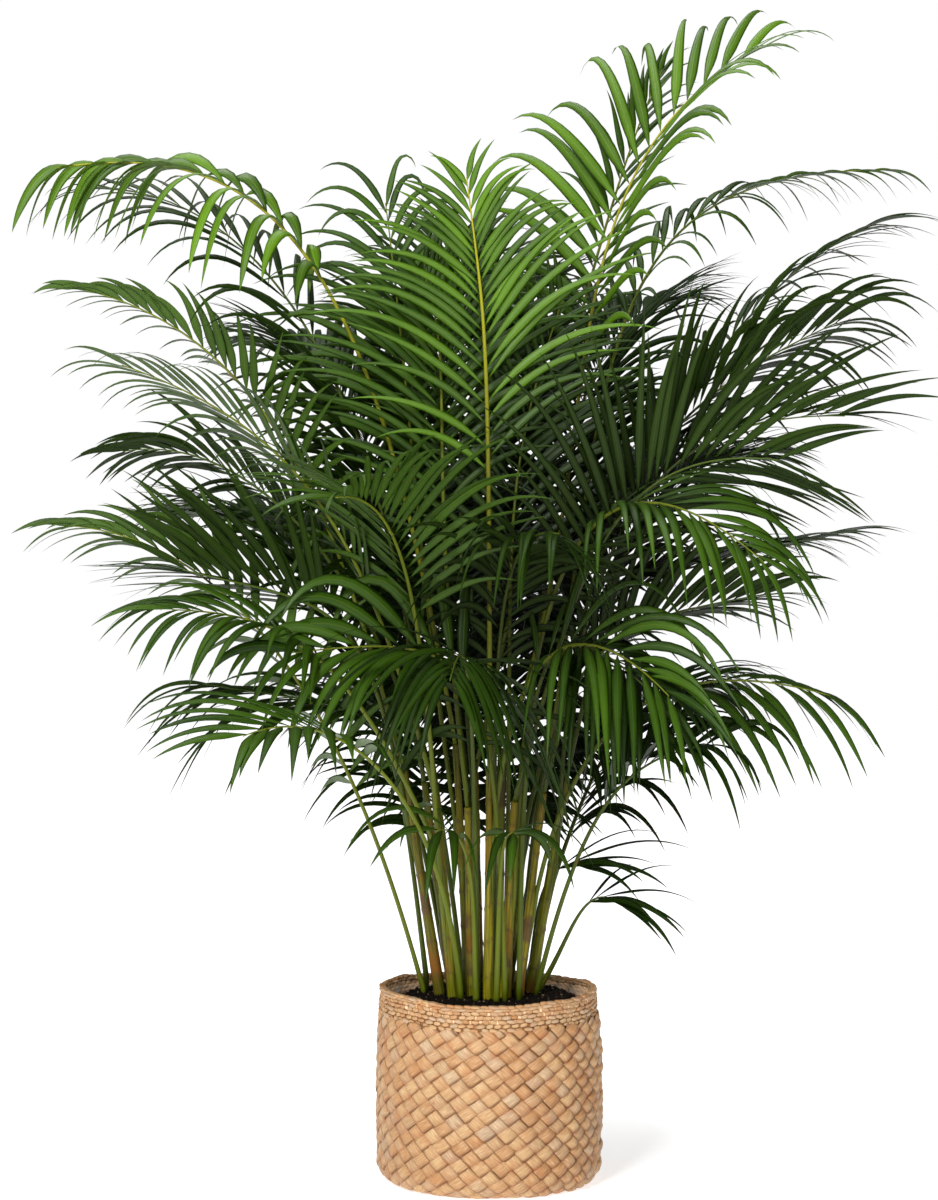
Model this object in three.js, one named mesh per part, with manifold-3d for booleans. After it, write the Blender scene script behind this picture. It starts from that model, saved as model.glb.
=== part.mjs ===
// An areca palm in a round plaited basket. Millimetres, +Z up, the basket stands on z = 0.
import * as THREE from 'three';
import Module from 'manifold-3d';

const wasm = await Module();
wasm.setup();

// Clearance between one solid and the next
const gap = 0.3;

// The basket: a slightly barrelled wall of diagonal plait under a twined rim
const basketHeight = 253;
const footRadius = 122;
const shoulderRadius = 147.5;
const shoulderHeight = 26;
const barrel = 2.8;
const drawIn = 3.5;
const wallThickness = 7;
const floorThickness = 6;
const plaitCells = 22;
const plaitRows = 6;
const plaitLift = 1.3;
const rimHeight = 40;
const rimRows = 5;
const rimBulge = 1.6;
const turnedSides = 28;
const footLevels = [0, 5, 14];
const innerLevels = [floorThickness, 14, shoulderHeight, 130, basketHeight];

// The clear film that lines the basket and the soil it holds, heaped up around the stems
const filmThickness = 1;
const filmTop = 245;
const soilEdge = 231;
const soilTop = 245;
const soilFlat = 98;

// The stems
const stemSides = 7;
const stemTaper = 0.5;
const stemRings = 4;
const ringSwell = 0.5;

// The leaf stalks and ribs
const stalkRadius = 3.4;
const ribTipRadius = 1.5;
const ribSides = 3;
const ribSteps = 7;
const ribTries = 15;
const sweepStep = 14;
const sweepAhead = 0.6;
const clearanceWanted = 1.5;
const stemStations = 50;
const ribStations = 110;
const sideBias = 0.15;

// The leaflets: fewer and wider than on the plant
const pairsPerFrond = 7;
const leafletWiden = 2.15;
const leafletThickness = 3;
const leafletClearance = 0.5;
const leafletSteps = 9;
const widestStep = 4;

// What a frond has where its own row says nothing
const usual = {
  pull: 0.42, ease: 0.33, roll: 0, pairs: pairsPerFrond, open: 58, shut: 18, end: 0.5, vee: 24,
  droop: 0.9, late: 1.5, wild: 1,
};

// How leaflets differ from one another: place along the rib, length, spread and lift in degrees, droop;
// a frond's `wild` multiplies the last three
const uneven = { place: 0.3, length: 0.2, spread: 9, lift: 10, droop: 0.6 };

// How a frond's leaflets stand along the rib: the two hands' offset, the size of the lowest pair,
// how fast they grow from it, and the curves of their length and their spread towards the tip
const stand = { apart: 0.15, lowest: 0.66, growth: 1.5, shorten: 0.9, narrow: 0.8, slimmest: 0.6 };

// Each stem: where it leaves the soil, which way and how far it leans, its length and foot radius
const stems = [
  { x: -64, y: -8, heading: 190, lean: 9, length: 300, radius: 8 },
  { x: -48, y: 26, heading: 160, lean: 8, length: 280, radius: 7 },
  { x: -46, y: -32, heading: 215, lean: 6, length: 270, radius: 8 },
  { x: -22, y: -26, heading: 250, lean: 3, length: 250, radius: 7.5 },
  { x: -26, y: 10, heading: 170, lean: 3, length: 330, radius: 7 },
  { x: 0, y: -52, heading: 280, lean: 2, length: 300, radius: 7.5 },
  { x: -12, y: 44, heading: 100, lean: 6, length: 290, radius: 7 },
  { x: 22, y: -38, heading: 300, lean: 5, length: 260, radius: 8 },
  { x: 12, y: 4, heading: 60, lean: 3, length: 320, radius: 7 },
  { x: 40, y: -20, heading: 350, lean: 7, length: 270, radius: 7 },
  { x: 56, y: 8, heading: 5, lean: 9.5, length: 290, radius: 7.5 },
  { x: 28, y: 38, heading: 50, lean: 7, length: 280, radius: 7 },
];

// Each frond: the stem it grows from (and how far up) or its own spot in the soil, the heading,
// how far out and up its rib runs, how far it leans at its foot and at its tip, and its leaflets
const fronds = [
  { name: 'mid_1', stem: 5, heading: 225, reach: 43, rise: 770, lean: 0, tip: 10, pull: 0.8,
    ease: 0.25, roll: 135, leaf: 270, wide: 14, bare: 0.28, open: 42, shut: 20, end: 0.2, vee: 4,
    droop: 0.8, late: 1, tone: 'bright' },
  { name: 'right_1', stem: 8, heading: 14, reach: 350, rise: 948, lean: 22, tip: 60, pull: 0.42,
    ease: 0.36, roll: -24, leaf: 255, wide: 18, bare: 0.47, open: 64, shut: 24, vee: 24, droop: 1.3,
    late: 3, tone: 'bright' },
  { name: 'left_1', stem: 4, heading: 186, reach: 525, rise: 760, lean: 10, tip: 100, pull: 0.65,
    ease: 0.35, roll: 24, leaf: 190, wide: 20, bare: 0.48, open: 36, shut: 14, end: 0.58, vee: 42,
    droop: 4, late: 1.3, tone: 'bright' },
  { name: 'mid_2', stem: 3, heading: 172, reach: 60, rise: 705, lean: 7, tip: 20, pull: 0.7, ease: 0.2,
    roll: 80, leaf: 250, wide: 13, bare: 0.34, open: 44, shut: 20, end: 0.3, vee: 4, droop: 0.8,
    late: 1, tone: 'green' },
  { name: 'mid_3', root: [20, -18], heading: 15, reach: 85, rise: 930, lean: 2, tip: 20, pull: 0.65,
    ease: 0.33, roll: -75, leaf: 250, wide: 13, bare: 0.4, open: 42, shut: 20, end: 0.3, vee: 4,
    droop: 0.7, late: 1, tone: 'green' },
  { name: 'right_2', stem: 6, heading: 35, reach: 325, rise: 985, lean: 15, tip: 30, pull: 0.4,
    ease: 0.21, roll: -30, leaf: 130, wide: 11, bare: 0.45, open: 42, shut: 6, end: 0.5, vee: 24,
    droop: 0.8, late: 0.9, tone: 'green' },
  { name: 'left_2', root: [-30, 34], heading: 172, reach: 505, rise: 1085, lean: 9, tip: 86, pull: 0.3,
    ease: 0.34, roll: 22, leaf: 230, wide: 15, bare: 0.52, open: 50, end: 0.6, vee: 6, droop: 1.6,
    late: 2, tone: 'deep' },
  { name: 'left_3', stem: 0, heading: 180, reach: 445, rise: 640, lean: 16, tip: 80, pull: 0.3,
    ease: 0.4, roll: -32, leaf: 120, wide: 14, bare: 0.42, open: 62, shut: 6, vee: 36, droop: 0.8,
    late: 1.2, tone: 'green' },
  { name: 'left_4', stem: 2, heading: 192, reach: 410, rise: 555, lean: 16, tip: 72, pull: 0.45,
    ease: 0.4, roll: -14, leaf: 210, wide: 13, bare: 0.32, open: 36, shut: 22, vee: 8, droop: 1.2,
    late: 2.4, tone: 'green' },
  { name: 'left_5', stem: 1, heading: 176, reach: 410, rise: 445, lean: 10, tip: 100, pull: 0.37,
    ease: 0.33, roll: -36, leaf: 160, wide: 13, bare: 0.38, open: 40, vee: 16, late: 1.2, wild: 1.3,
    tone: 'deep' },
  { name: 'left_6', root: [-84, -2], heading: 184, reach: 470, rise: 620, lean: 16, tip: 86, pull: 0.2,
    ease: 0.4, roll: -48, leaf: 170, wide: 14, bare: 0.38, open: 66, shut: 6, vee: 36, late: 1.2,
    wild: 1.3, tone: 'green' },
  { name: 'left_7', stem: 2, at: 0.75, heading: 206, reach: 365, rise: 310, lean: 26, tip: 88,
    pull: 0.6, ease: 0.33, roll: 20, leaf: 200, wide: 17, bare: 0.46, open: 57, shut: 22, vee: 20,
    droop: 1.35, late: 1.1, wild: 1.3, tone: 'green' },
  { name: 'left_8', root: [-80, 24], heading: 182, reach: 300, rise: 410, lean: 7, tip: 80, pull: 0.85,
    ease: 0.53, roll: 20, leaf: 250, wide: 17, bare: 0.48, open: 40, shut: 6, vee: 12, droop: 1.9,
    wild: 1.3, tone: 'deep' },
  { name: 'left_9', stem: 0, at: 0.8, heading: 196, reach: 300, rise: 325, lean: 11, tip: 76,
    pull: 0.7, ease: 0.45, roll: -30, leaf: 260, wide: 14, bare: 0.54, open: 46, shut: 22, vee: 32,
    droop: 0.4, late: 0.9, wild: 1.5, tone: 'deep' },
  { name: 'right_3', root: [26, 20], heading: 14, reach: 540, rise: 1115, lean: 12, tip: 88,
    pull: 0.65, ease: 0.4, roll: -12, leaf: 150, wide: 13, bare: 0.55, open: 38, shut: 10, droop: 1.8,
    tone: 'green' },
  { name: 'right_4', stem: 10, heading: 8, reach: 420, rise: 745, lean: 13, tip: 64, pull: 0.42,
    ease: 0.33, roll: -6, leaf: 170, wide: 13, bare: 0.4, open: 44, shut: 14, end: 0.64, vee: 20,
    late: 0.9, tone: 'deep' },
  { name: 'right_5', stem: 10, at: 0.6, heading: 352, reach: 370, rise: 715, lean: 2, tip: 66,
    pull: 0.6, ease: 0.33, roll: 30, leaf: 220, wide: 13, bare: 0.52, open: 42, shut: 22, end: 0.64,
    vee: 24, droop: 1.2, wild: 1.3, tone: 'deep' },
  { name: 'right_6', stem: 9, heading: 356, reach: 395, rise: 495, lean: 15, tip: 92, pull: 0.4,
    ease: 0.5, roll: 20, leaf: 245, wide: 13, bare: 0.4, open: 50, shut: 22, end: 0.6, vee: 40,
    droop: 0.5, late: 1.2, wild: 1.4, tone: 'deep' },
  { name: 'right_7', stem: 7, heading: 338, reach: 360, rise: 440, lean: 18, tip: 98, pull: 0.45,
    ease: 0.45, roll: 48, leaf: 250, wide: 13, bare: 0.4, open: 54, shut: 26, end: 0.6, vee: 24,
    droop: 0.6, late: 1.2, wild: 1.3, tone: 'deep' },
  { name: 'right_8', stem: 7, at: 0.6, heading: 325, reach: 370, rise: 415, lean: 0, tip: 127,
    pull: 0.95, ease: 0.45, roll: -20, leaf: 230, wide: 16, bare: 0.47, shut: 14, vee: 12, droop: 2.8,
    late: 2.1, wild: 1.3, tone: 'green' },
  { name: 'right_9', stem: 11, at: 0.8, heading: 358, reach: 405, rise: 385, lean: 13, tip: 76,
    pull: 0.67, ease: 0.53, leaf: 190, wide: 13, bare: 0.4, open: 45, end: 0.6, wild: 1.3,
    tone: 'deep' },
  { name: 'right_10', stem: 9, at: 0.5, heading: 350, reach: 385, rise: 265, lean: 12, tip: 106,
    pull: 0.6, ease: 0.4, roll: -29, leaf: 220, wide: 17, bare: 0.4, open: 58, shut: 10, vee: 0,
    droop: 1.9, late: 1.2, tone: 'green' },
  { name: 'right_11', root: [62, -14], heading: 338, reach: 245, rise: 335, lean: 15, tip: 84,
    pull: 0.57, ease: 0.33, roll: -30, leaf: 250, wide: 15, bare: 0.48, open: 54, shut: 22, vee: 36,
    droop: 2.4, late: 1.8, wild: 1.5, tone: 'deep' },
  { name: 'low_1', root: [66, 24], heading: 346, reach: 106, rise: 124, lean: 34, tip: 112, pull: 0.5,
    ease: 0.33, roll: -26, leaf: 155, wide: 13, bare: 0.66, pairs: 4, open: 36, shut: 10, vee: -8,
    droop: 1.15, late: 1.6, tone: 'deep' },
  { name: 'low_2', root: [52, 26], heading: 345, reach: 66, rise: 170, lean: 8, tip: 88, roll: -24,
    leaf: 175, wide: 16, bare: 0.8, pairs: 4, open: 27, shut: 10, vee: -8, droop: 1, late: 1.7,
    tone: 'deep' },
  { name: 'low_3', root: [10, -72], heading: 300, reach: 48, rise: 222, lean: 4, tip: 104, pull: 0.6,
    ease: 0.2, roll: -10, leaf: 150, wide: 19, bare: 0.76, pairs: 4, open: 64, shut: 26, vee: 10,
    droop: 3.4, tone: 'green' },
  { name: 'low_4', root: [-16, -62], heading: 222, reach: 70, rise: 225, lean: 4, tip: 100, roll: 24,
    leaf: 175, wide: 17, bare: 0.74, pairs: 4, open: 58, shut: 20, vee: 16, droop: 2.6, late: 1.4,
    tone: 'green' },
  { name: 'near_1', root: [22, -68], heading: 200, reach: 300, rise: 455, lean: 2, tip: 96, pull: 0.85,
    ease: 0.5, roll: 52, leaf: 240, wide: 20, bare: 0.48, open: 46, shut: 14, vee: 28, droop: 2.6,
    late: 2.1, tone: 'green' },
  { name: 'near_2', stem: 5, at: 0.7, heading: 318, reach: 290, rise: 195, lean: 4, tip: 128,
    pull: 0.9, ease: 0.43, roll: -42, leaf: 240, wide: 16, bare: 0.36, open: 62, vee: 28, droop: 2,
    late: 1.5, wild: 1.4, tone: 'green' },
  { name: 'near_3', stem: 2, at: 0.5, heading: 243, reach: 280, rise: 515, lean: 8, tip: 96, pull: 0.6,
    leaf: 245, wide: 14, bare: 0.45, droop: 0.7, tone: 'green' },
  { name: 'near_4', root: [8, -32], heading: 288, reach: 250, rise: 605, lean: 0, tip: 96, pull: 0.6,
    ease: 0.43, roll: 12, leaf: 235, wide: 13, bare: 0.44, open: 46, vee: -6, droop: 2.1, wild: 1.8,
    tone: 'deep' },
  { name: 'near_5', root: [40, -58], heading: 312, reach: 260, rise: 395, lean: 1, tip: 125,
    pull: 0.95, ease: 0.6, roll: -32, leaf: 200, wide: 14, bare: 0.66, open: 58, shut: 18, vee: 8,
    droop: 2.6, late: 1.2, wild: 1.6, tone: 'deep' },
  { name: 'near_6', root: [-14, -42], heading: 262, reach: 250, rise: 425, lean: 6, tip: 118,
    pull: 0.75, ease: 0.43, roll: 18, leaf: 260, wide: 14, bare: 0.38, open: 66, shut: 26, vee: 14,
    droop: 2.5, late: 0.9, wild: 1.8, tone: 'deep' },
  { name: 'near_7', root: [-36, -50], heading: 232, reach: 420, rise: 362, lean: 7, tip: 104,
    pull: 0.5, ease: 0.33, roll: 16, leaf: 225, wide: 20, bare: 0.56, open: 50, shut: 22, vee: 12,
    droop: 0.85, late: 1.6, tone: 'green' },
  { name: 'mid_4', stem: 4, at: 0.7, heading: 160, reach: 100, rise: 825, lean: 9, tip: 8, roll: 76,
    leaf: 265, wide: 13, bare: 0.42, end: 0.4, vee: 8, droop: 1.5, tone: 'green' },
  { name: 'far_1', stem: 6, at: 0.8, heading: 95, reach: 190, rise: 795, lean: 8, tip: 45, leaf: 260,
    wide: 16, bare: 0.24, wild: 1.6, tone: 'deep' },
  { name: 'far_2', stem: 1, at: 0.6, heading: 132, reach: 330, rise: 715, lean: 10, tip: 80, leaf: 260,
    wide: 16, bare: 0.32, wild: 1.6, tone: 'deep' },
  { name: 'far_3', stem: 11, heading: 52, reach: 320, rise: 665, lean: 9, tip: 75, leaf: 260, wide: 16,
    bare: 0.28, wild: 1.6, tone: 'deep' },
  { name: 'far_4', stem: 6, at: 0.5, heading: 108, reach: 420, rise: 515, lean: 14, tip: 95, leaf: 245,
    wide: 16, bare: 0.26, wild: 1.6, tone: 'deep' },
  { name: 'far_5', stem: 11, at: 0.6, heading: 36, reach: 400, rise: 555, lean: 14, tip: 90, leaf: 245,
    wide: 16, bare: 0.28, wild: 1.6, tone: 'deep' },
  { name: 'far_6', stem: 1, at: 0.3, heading: 148, reach: 400, rise: 555, lean: 12, tip: 90, leaf: 245,
    wide: 16, bare: 0.34, wild: 1.6, tone: 'deep' },
  { name: 'far_7', root: [6, 52], heading: 84, reach: 400, rise: 505, lean: 12, tip: 105, leaf: 240,
    wide: 14, bare: 0.24, droop: 1.6, wild: 1.8, tone: 'deep' },
  { name: 'far_8', root: [-34, 56], heading: 108, reach: 370, rise: 375, lean: 18, tip: 108, leaf: 240,
    wide: 14, bare: 0.3, droop: 1.6, wild: 1.8, tone: 'deep' },
  { name: 'far_9', root: [50, 44], heading: 48, reach: 380, rise: 385, lean: 20, tip: 105, leaf: 240,
    wide: 14, bare: 0.3, droop: 1.6, wild: 1.8, tone: 'deep' },
  { name: 'right_12', root: [42, 2], heading: 352, reach: 325, rise: 530, lean: 3, tip: 80, pull: 0.75,
    ease: 0.38, roll: 36, leaf: 195, wide: 13, bare: 0.47, open: 45, vee: 28, droop: 0.8, late: 2.1,
    tone: 'deep' },
];

const up = new THREE.Vector3(0, 0, 1);

function ask(frond, key) {
  return frond[key] ?? usual[key];
}

// A number from 0 to 1 that looks random but is the same on every run
function noise(n) {
  const wave = Math.sin(n * 12.9898) * 43758.5453;
  return wave - Math.floor(wave);
}

// The direction that leans from upright by so many degrees towards a compass heading
function direction(heading, lean) {
  const a = THREE.MathUtils.degToRad(heading);
  const b = THREE.MathUtils.degToRad(lean);
  return new THREE.Vector3(Math.cos(a) * Math.sin(b), Math.sin(a) * Math.sin(b), Math.cos(b));
}

function stemPoint(stem, share) {
  return new THREE.Vector3(stem.x, stem.y, soilTop)
    .addScaledVector(direction(stem.heading, stem.lean), stem.length * share);
}

function stemRadius(stem, share) {
  return stem.radius * (1 - stemTaper * share);
}

function ribRadius(t) {
  return stalkRadius + (ribTipRadius - stalkRadius) * t;
}

// Where a stalk starts, and the way its end faces: on the soil or on top of its stem, level with
// it, or part way up, let into the stem's side
function stalkFoot(frond) {
  if (frond.root) {
    return { point: new THREE.Vector3(frond.root[0], frond.root[1], soilTop + gap), rise: up };
  }
  const stem = stems[frond.stem];
  if (!frond.at) {
    const rise = direction(stem.heading, stem.lean);
    return { point: stemPoint(stem, 1).addScaledVector(rise, gap), rise };
  }
  const reach = stemRadius(stem, frond.at) + stalkRadius / 2;
  return { point: stemPoint(stem, frond.at).addScaledVector(direction(frond.heading, 90), reach) };
}

// The curve of a frond's stalk and rib, bowed sideways by sweep
function ribCurve(frond, sweep) {
  const out = direction(frond.heading, 90);
  const side = new THREE.Vector3(-out.y, out.x, 0);
  const start = stalkFoot(frond).point;
  const end = start.clone().addScaledVector(out, frond.reach).addScaledVector(up, frond.rise);
  const chord = start.distanceTo(end);
  const first = start.clone()
    .addScaledVector(direction(frond.heading, frond.lean), chord * ask(frond, 'pull'))
    .addScaledVector(side, sweep);
  const second = end.clone()
    .addScaledVector(direction(frond.heading, frond.tip), -chord * ask(frond, 'ease'))
    .addScaledVector(side, sweep * sweepAhead);
  return new THREE.CubicBezierCurve3(start, first, second, end);
}

// Evenly spaced stations along something, each with its radius
function stations(pointAt, radiusAt, count) {
  const list = [];
  for (let i = 0; i < count; i += 1) {
    const t = i / (count - 1);
    list.push({ point: pointAt(t), radius: radiusAt(t) });
  }
  return list;
}

function clearanceBetween(a, b) {
  let least = Infinity;
  for (const p of a) {
    for (const q of b) {
      least = Math.min(least, p.point.distanceTo(q.point) - p.radius - q.radius);
    }
  }
  return least;
}

// Every rib in turn, bowed a little further until it passes the stems and the ribs before it
function layRibs() {
  const canes = stems.map((stem) => stations(
    (t) => stemPoint(stem, t), (t) => stemRadius(stem, t), stemStations));
  const placed = [];
  return fronds.map((frond) => {
    let best = null;
    for (let k = 0; k < ribTries; k += 1) {
      const sweep = sweepStep * Math.floor((k + 1) / 2) * (k % 2 ? 1 : -1);
      const curve = ribCurve(frond, sweep);
      const own = stations((t) => curve.getPoint(t), ribRadius, ribStations);
      let clear = Infinity;
      canes.forEach((other, i) => {
        if (i !== frond.stem) {
          clear = Math.min(clear, clearanceBetween(own, other));
        }
      });
      for (const other of placed) {
        clear = Math.min(clear, clearanceBetween(own, other));
      }
      if (!best || clear > best.clear) {
        best = { clear, curve, own };
      }
      if (clear > clearanceWanted) {
        break;
      }
    }
    placed.push(best.own);
    return best.curve;
  });
}

// The frame of a rib at t: along it, to its side and out of its upper face
function ribFrame(frond, curve, t) {
  const along = curve.getTangent(t);
  const side = along.clone().cross(up);
  const run = curve.v3.clone().sub(curve.v0);
  side.addScaledVector(new THREE.Vector3(run.y, -run.x, 0).normalize(), sideBias);
  side.addScaledVector(along, -side.dot(along)).normalize();
  const face = side.clone().cross(along);
  const roll = THREE.MathUtils.degToRad(ask(frond, 'roll'));
  return {
    point: curve.getPoint(t),
    along,
    side: side.clone().multiplyScalar(Math.cos(roll)).addScaledVector(face, Math.sin(roll)),
    face: face.clone().multiplyScalar(Math.cos(roll)).addScaledVector(side, -Math.sin(roll)),
  };
}

// The point at t on the straight runs that stand for the rib
function onRib(curve, t) {
  const runs = ribSteps - 1;
  const i = Math.min(Math.floor(t * runs), runs - 1);
  return curve.getPoint(i / runs).lerp(curve.getPoint((i + 1) / runs), t * runs - i);
}

// The middle line of a leaflet with its blade direction and half width at each station
function leafletLine(frond, curve, seed, k, hand, change) {
  const jitter = (a, b) => noise(seed + k * a + hand * b) - 0.5;
  const v = THREE.MathUtils.clamp(
    (k + 0.5 + stand.apart * hand + uneven.place * jitter(1.7, 1)) / ask(frond, 'pairs'), 0, 1);
  const t = frond.bare + (1 - frond.bare) * v;
  const rib = ribFrame(frond, curve, t);
  const shape = Math.min(
    1, stand.lowest + stand.growth * v, ask(frond, 'end') + (1 - v) ** stand.shorten);
  const length = frond.leaf * shape * (1 + uneven.length * jitter(7.3, 1)) * change.length;
  const spread = THREE.MathUtils.degToRad(ask(frond, 'open') * (1 - v) ** stand.narrow
    + ask(frond, 'shut') * v + uneven.spread * ask(frond, 'wild') * jitter(3.1, 5));
  const lift = THREE.MathUtils.degToRad(
    ask(frond, 'vee') + uneven.lift * ask(frond, 'wild') * jitter(9.1, 3) + change.lift);
  const heading = rib.along.clone().multiplyScalar(Math.cos(spread))
    .addScaledVector(rib.side, hand * Math.cos(lift) * Math.sin(spread))
    .addScaledVector(rib.face, Math.sin(lift) * Math.sin(spread));
  const droop = ask(frond, 'droop') * (1 + uneven.droop * ask(frond, 'wild') * jitter(5.7, 2));
  const blade = rib.along.clone().addScaledVector(heading, -rib.along.dot(heading)).normalize();
  const points = [onRib(curve, t)];
  const blades = [blade.clone()];
  for (let i = 0; i < leafletSteps; i += 1) {
    const q = (i + 0.5) / leafletSteps;
    const way = heading.clone().addScaledVector(up, -droop * q ** ask(frond, 'late')).normalize();
    blade.addScaledVector(way, -blade.dot(way)).normalize();
    blades.push(blade.clone());
    points.push(points[i].clone().addScaledVector(way, length / leafletSteps));
  }
  const half = 0.5 * frond.wide * leafletWiden * (stand.slimmest + (1 - stand.slimmest) * shape);
  return { points, blades, half };
}

// A closed solid from corner points and the triangles between them
function solid(corners, faces) {
  const mesh = new wasm.Mesh({
    numProp: 3,
    vertProperties: new Float32Array(corners.flatMap((p) => [p.x, p.y, p.z])),
    triVerts: new Uint32Array(faces.flat()),
  });
  mesh.merge();
  return new wasm.Manifold(mesh);
}

// Rings of equal count joined into a closed skin; crossed says which squares split the other way
function skin(rings, crossed = () => false) {
  const n = rings[0].length;
  const last = (rings.length - 1) * n;
  const faces = [];
  for (let r = 0; r + 1 < rings.length; r += 1) {
    for (let i = 0; i < n; i += 1) {
      const a = r * n + i;
      const b = r * n + ((i + 1) % n);
      const c = a + n;
      const d = b + n;
      if (crossed(r, i)) {
        faces.push([a, b, c], [b, d, c]);
      } else {
        faces.push([a, b, d], [a, d, c]);
      }
    }
  }
  for (let i = 1; i + 1 < n; i += 1) {
    faces.push([0, i + 1, i], [last, last + i, last + i + 1]);
  }
  return solid(rings.flat(), faces);
}

// A leaflet: a point sunk in the rib, a flat diamond section part way out, and a point
function leafletSolid(line, extra) {
  const { points, blades, half } = line;
  const thick = leafletThickness / 2 + extra;
  const blade = blades[widestStep];
  const out = points[widestStep + 1].clone().sub(points[widestStep - 1]).normalize().cross(blade);
  const corner = (way, size) => points[widestStep].clone().addScaledVector(way, size);
  const corners = [
    points[0],
    corner(blade, -half - extra),
    corner(out, thick),
    corner(blade, half + extra),
    corner(out, -thick),
    points.at(-1),
  ];
  const faces = [
    [0, 1, 2], [0, 2, 3], [0, 3, 4], [0, 4, 1],
    [5, 2, 1], [5, 3, 2], [5, 4, 3], [5, 1, 4],
  ];
  return solid(corners, faces);
}

// A three-sided stalk and rib; its first ring lies flat against what it stands on
function ribSolid(curve, frond) {
  const { point, rise } = stalkFoot(frond);
  const rings = stations((t) => t, ribRadius, ribSteps).map((station) => {
    const frame = ribFrame({ ...frond, roll: 0 }, curve, station.point);
    const ring = [];
    for (let i = 0; i < ribSides; i += 1) {
      const a = (2 * Math.PI * i) / ribSides + Math.PI / 2;
      const corner = frame.point.clone()
        .addScaledVector(frame.side, station.radius * Math.cos(a))
        .addScaledVector(frame.face, -station.radius * Math.sin(a));
      if (station.point === 0 && rise) {
        corner.addScaledVector(rise, point.clone().sub(corner).dot(rise));
      }
      ring.push(corner);
    }
    return ring;
  });
  const whole = skin(rings);
  return rise ? whole : whole.subtract(stemSolid(stems[frond.stem], gap));
}

// A tapering cane with slightly swollen rings, cut level where it leaves the soil
function stemSolid(stem, extra = 0) {
  const along = direction(stem.heading, stem.lean);
  const side = new THREE.Vector3(1, 0, 0).addScaledVector(along, -along.x).normalize();
  const across = along.clone().cross(side);
  const shares = [0];
  for (let r = 1; r <= stemRings; r += 1) {
    shares.push((r - 0.5) / stemRings);
  }
  shares.push(1);
  const rings = shares.map((share, n) => {
    const swell = n > 0 && n <= stemRings ? ringSwell : 0;
    const radius = stemRadius(stem, share) + swell + extra;
    const centre = stemPoint(stem, share);
    const ring = [];
    for (let i = 0; i < stemSides; i += 1) {
      const a = (2 * Math.PI * i) / stemSides;
      const corner = centre.clone()
        .addScaledVector(side, radius * Math.cos(a))
        .addScaledVector(across, radius * Math.sin(a));
      if (n === 0) {
        corner.z = soilTop + gap;
      }
      ring.push(corner);
    }
    return ring;
  });
  return skin(rings);
}

// The outer radius of the basket at a height
function basketRadius(z) {
  if (z < shoulderHeight) {
    const drop = (shoulderHeight - z) / shoulderHeight;
    return footRadius + (shoulderRadius - footRadius) * Math.sqrt(1 - drop * drop);
  }
  const share = (z - shoulderHeight) / (basketHeight - shoulderHeight);
  return shoulderRadius + barrel * Math.sin(Math.PI * share) - drawIn * share;
}

function ringAt(z, sides, radiusAt) {
  const ring = [];
  for (let i = 0; i < sides; i += 1) {
    const a = (2 * Math.PI * i) / sides;
    const r = radiusAt(i);
    ring.push(new THREE.Vector3(r * Math.cos(a), r * Math.sin(a), z));
  }
  return ring;
}

// The inner face of the basket runs straight from one of its levels to the next
function innerRadius(z) {
  const last = innerLevels.length - 1;
  const i = Math.min(Math.max(innerLevels.findIndex((level) => level > z), 1), last);
  const [low, high] = [innerLevels[i - 1], innerLevels[z >= basketHeight ? last : i]];
  const share = (z - low) / (high - low);
  return THREE.MathUtils.lerp(basketRadius(low), basketRadius(high), share) - wallThickness;
}

// Rings that follow the inside of the basket from bottom to top, set in from its inner face
function innerRings(inset, bottom, top) {
  const levels = [bottom, ...innerLevels.filter((z) => z > bottom && z < top), top];
  return levels.map((z) => ringAt(z, turnedSides, () => innerRadius(z) - inset));
}

function basketSolid() {
  const plaitTop = basketHeight - rimHeight;
  const columns = plaitCells * 2;
  const rows = plaitRows * 2;
  const raised = (r, i) => (r + i) % 2 === 0;
  const rings = footLevels.map((z) => ringAt(z, columns, () => basketRadius(z) - plaitLift));
  const first = rings.length;
  for (let r = 0; r <= rows; r += 1) {
    const z = shoulderHeight + ((plaitTop - shoulderHeight) * r) / rows;
    rings.push(ringAt(z, columns, (i) => basketRadius(z) + (raised(r, i) ? 0 : -plaitLift)));
  }
  const wall = skin(rings, (r, i) => r >= first && raised(r - first, i));
  const rimRings = [];
  for (let r = 0; r <= rimRows * 2; r += 1) {
    const z = plaitTop + (rimHeight * r) / (rimRows * 2);
    const swell = r % 2 ? rimBulge : 0;
    rimRings.push(ringAt(z, turnedSides, () => basketRadius(z) - rimBulge + swell));
  }
  const inside = skin(innerRings(0, floorThickness, basketHeight + 1));
  return wall.add(skin(rimRings)).subtract(inside);
}

function filmSolid() {
  const bottom = floorThickness + gap;
  const outer = skin(innerRings(gap, bottom, filmTop));
  const inner = skin(innerRings(gap + filmThickness, bottom + filmThickness, filmTop + 1));
  return outer.subtract(inner);
}

function soilSolid() {
  const rings = innerRings(2 * gap + filmThickness, floorThickness + filmThickness + 2 * gap, soilEdge);
  rings.push(ringAt(soilTop, turnedSides, () => soilFlat));
  return skin(rings);
}

const looks = {
  basket: { color: 0xc9a277, roughness: 0.65 },
  film: { color: 0xd8d6cc, roughness: 0.25 },
  soil: { color: 0x1e1a17, roughness: 0.85 },
  stem: { color: 0x7d7f2c, roughness: 0.65 },
  bright: { color: 0x4f8f23, roughness: 0.9 },
  green: { color: 0x33661f, roughness: 0.9 },
  deep: { color: 0x21441b, roughness: 0.9 },
};

const group = new THREE.Group();

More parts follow.
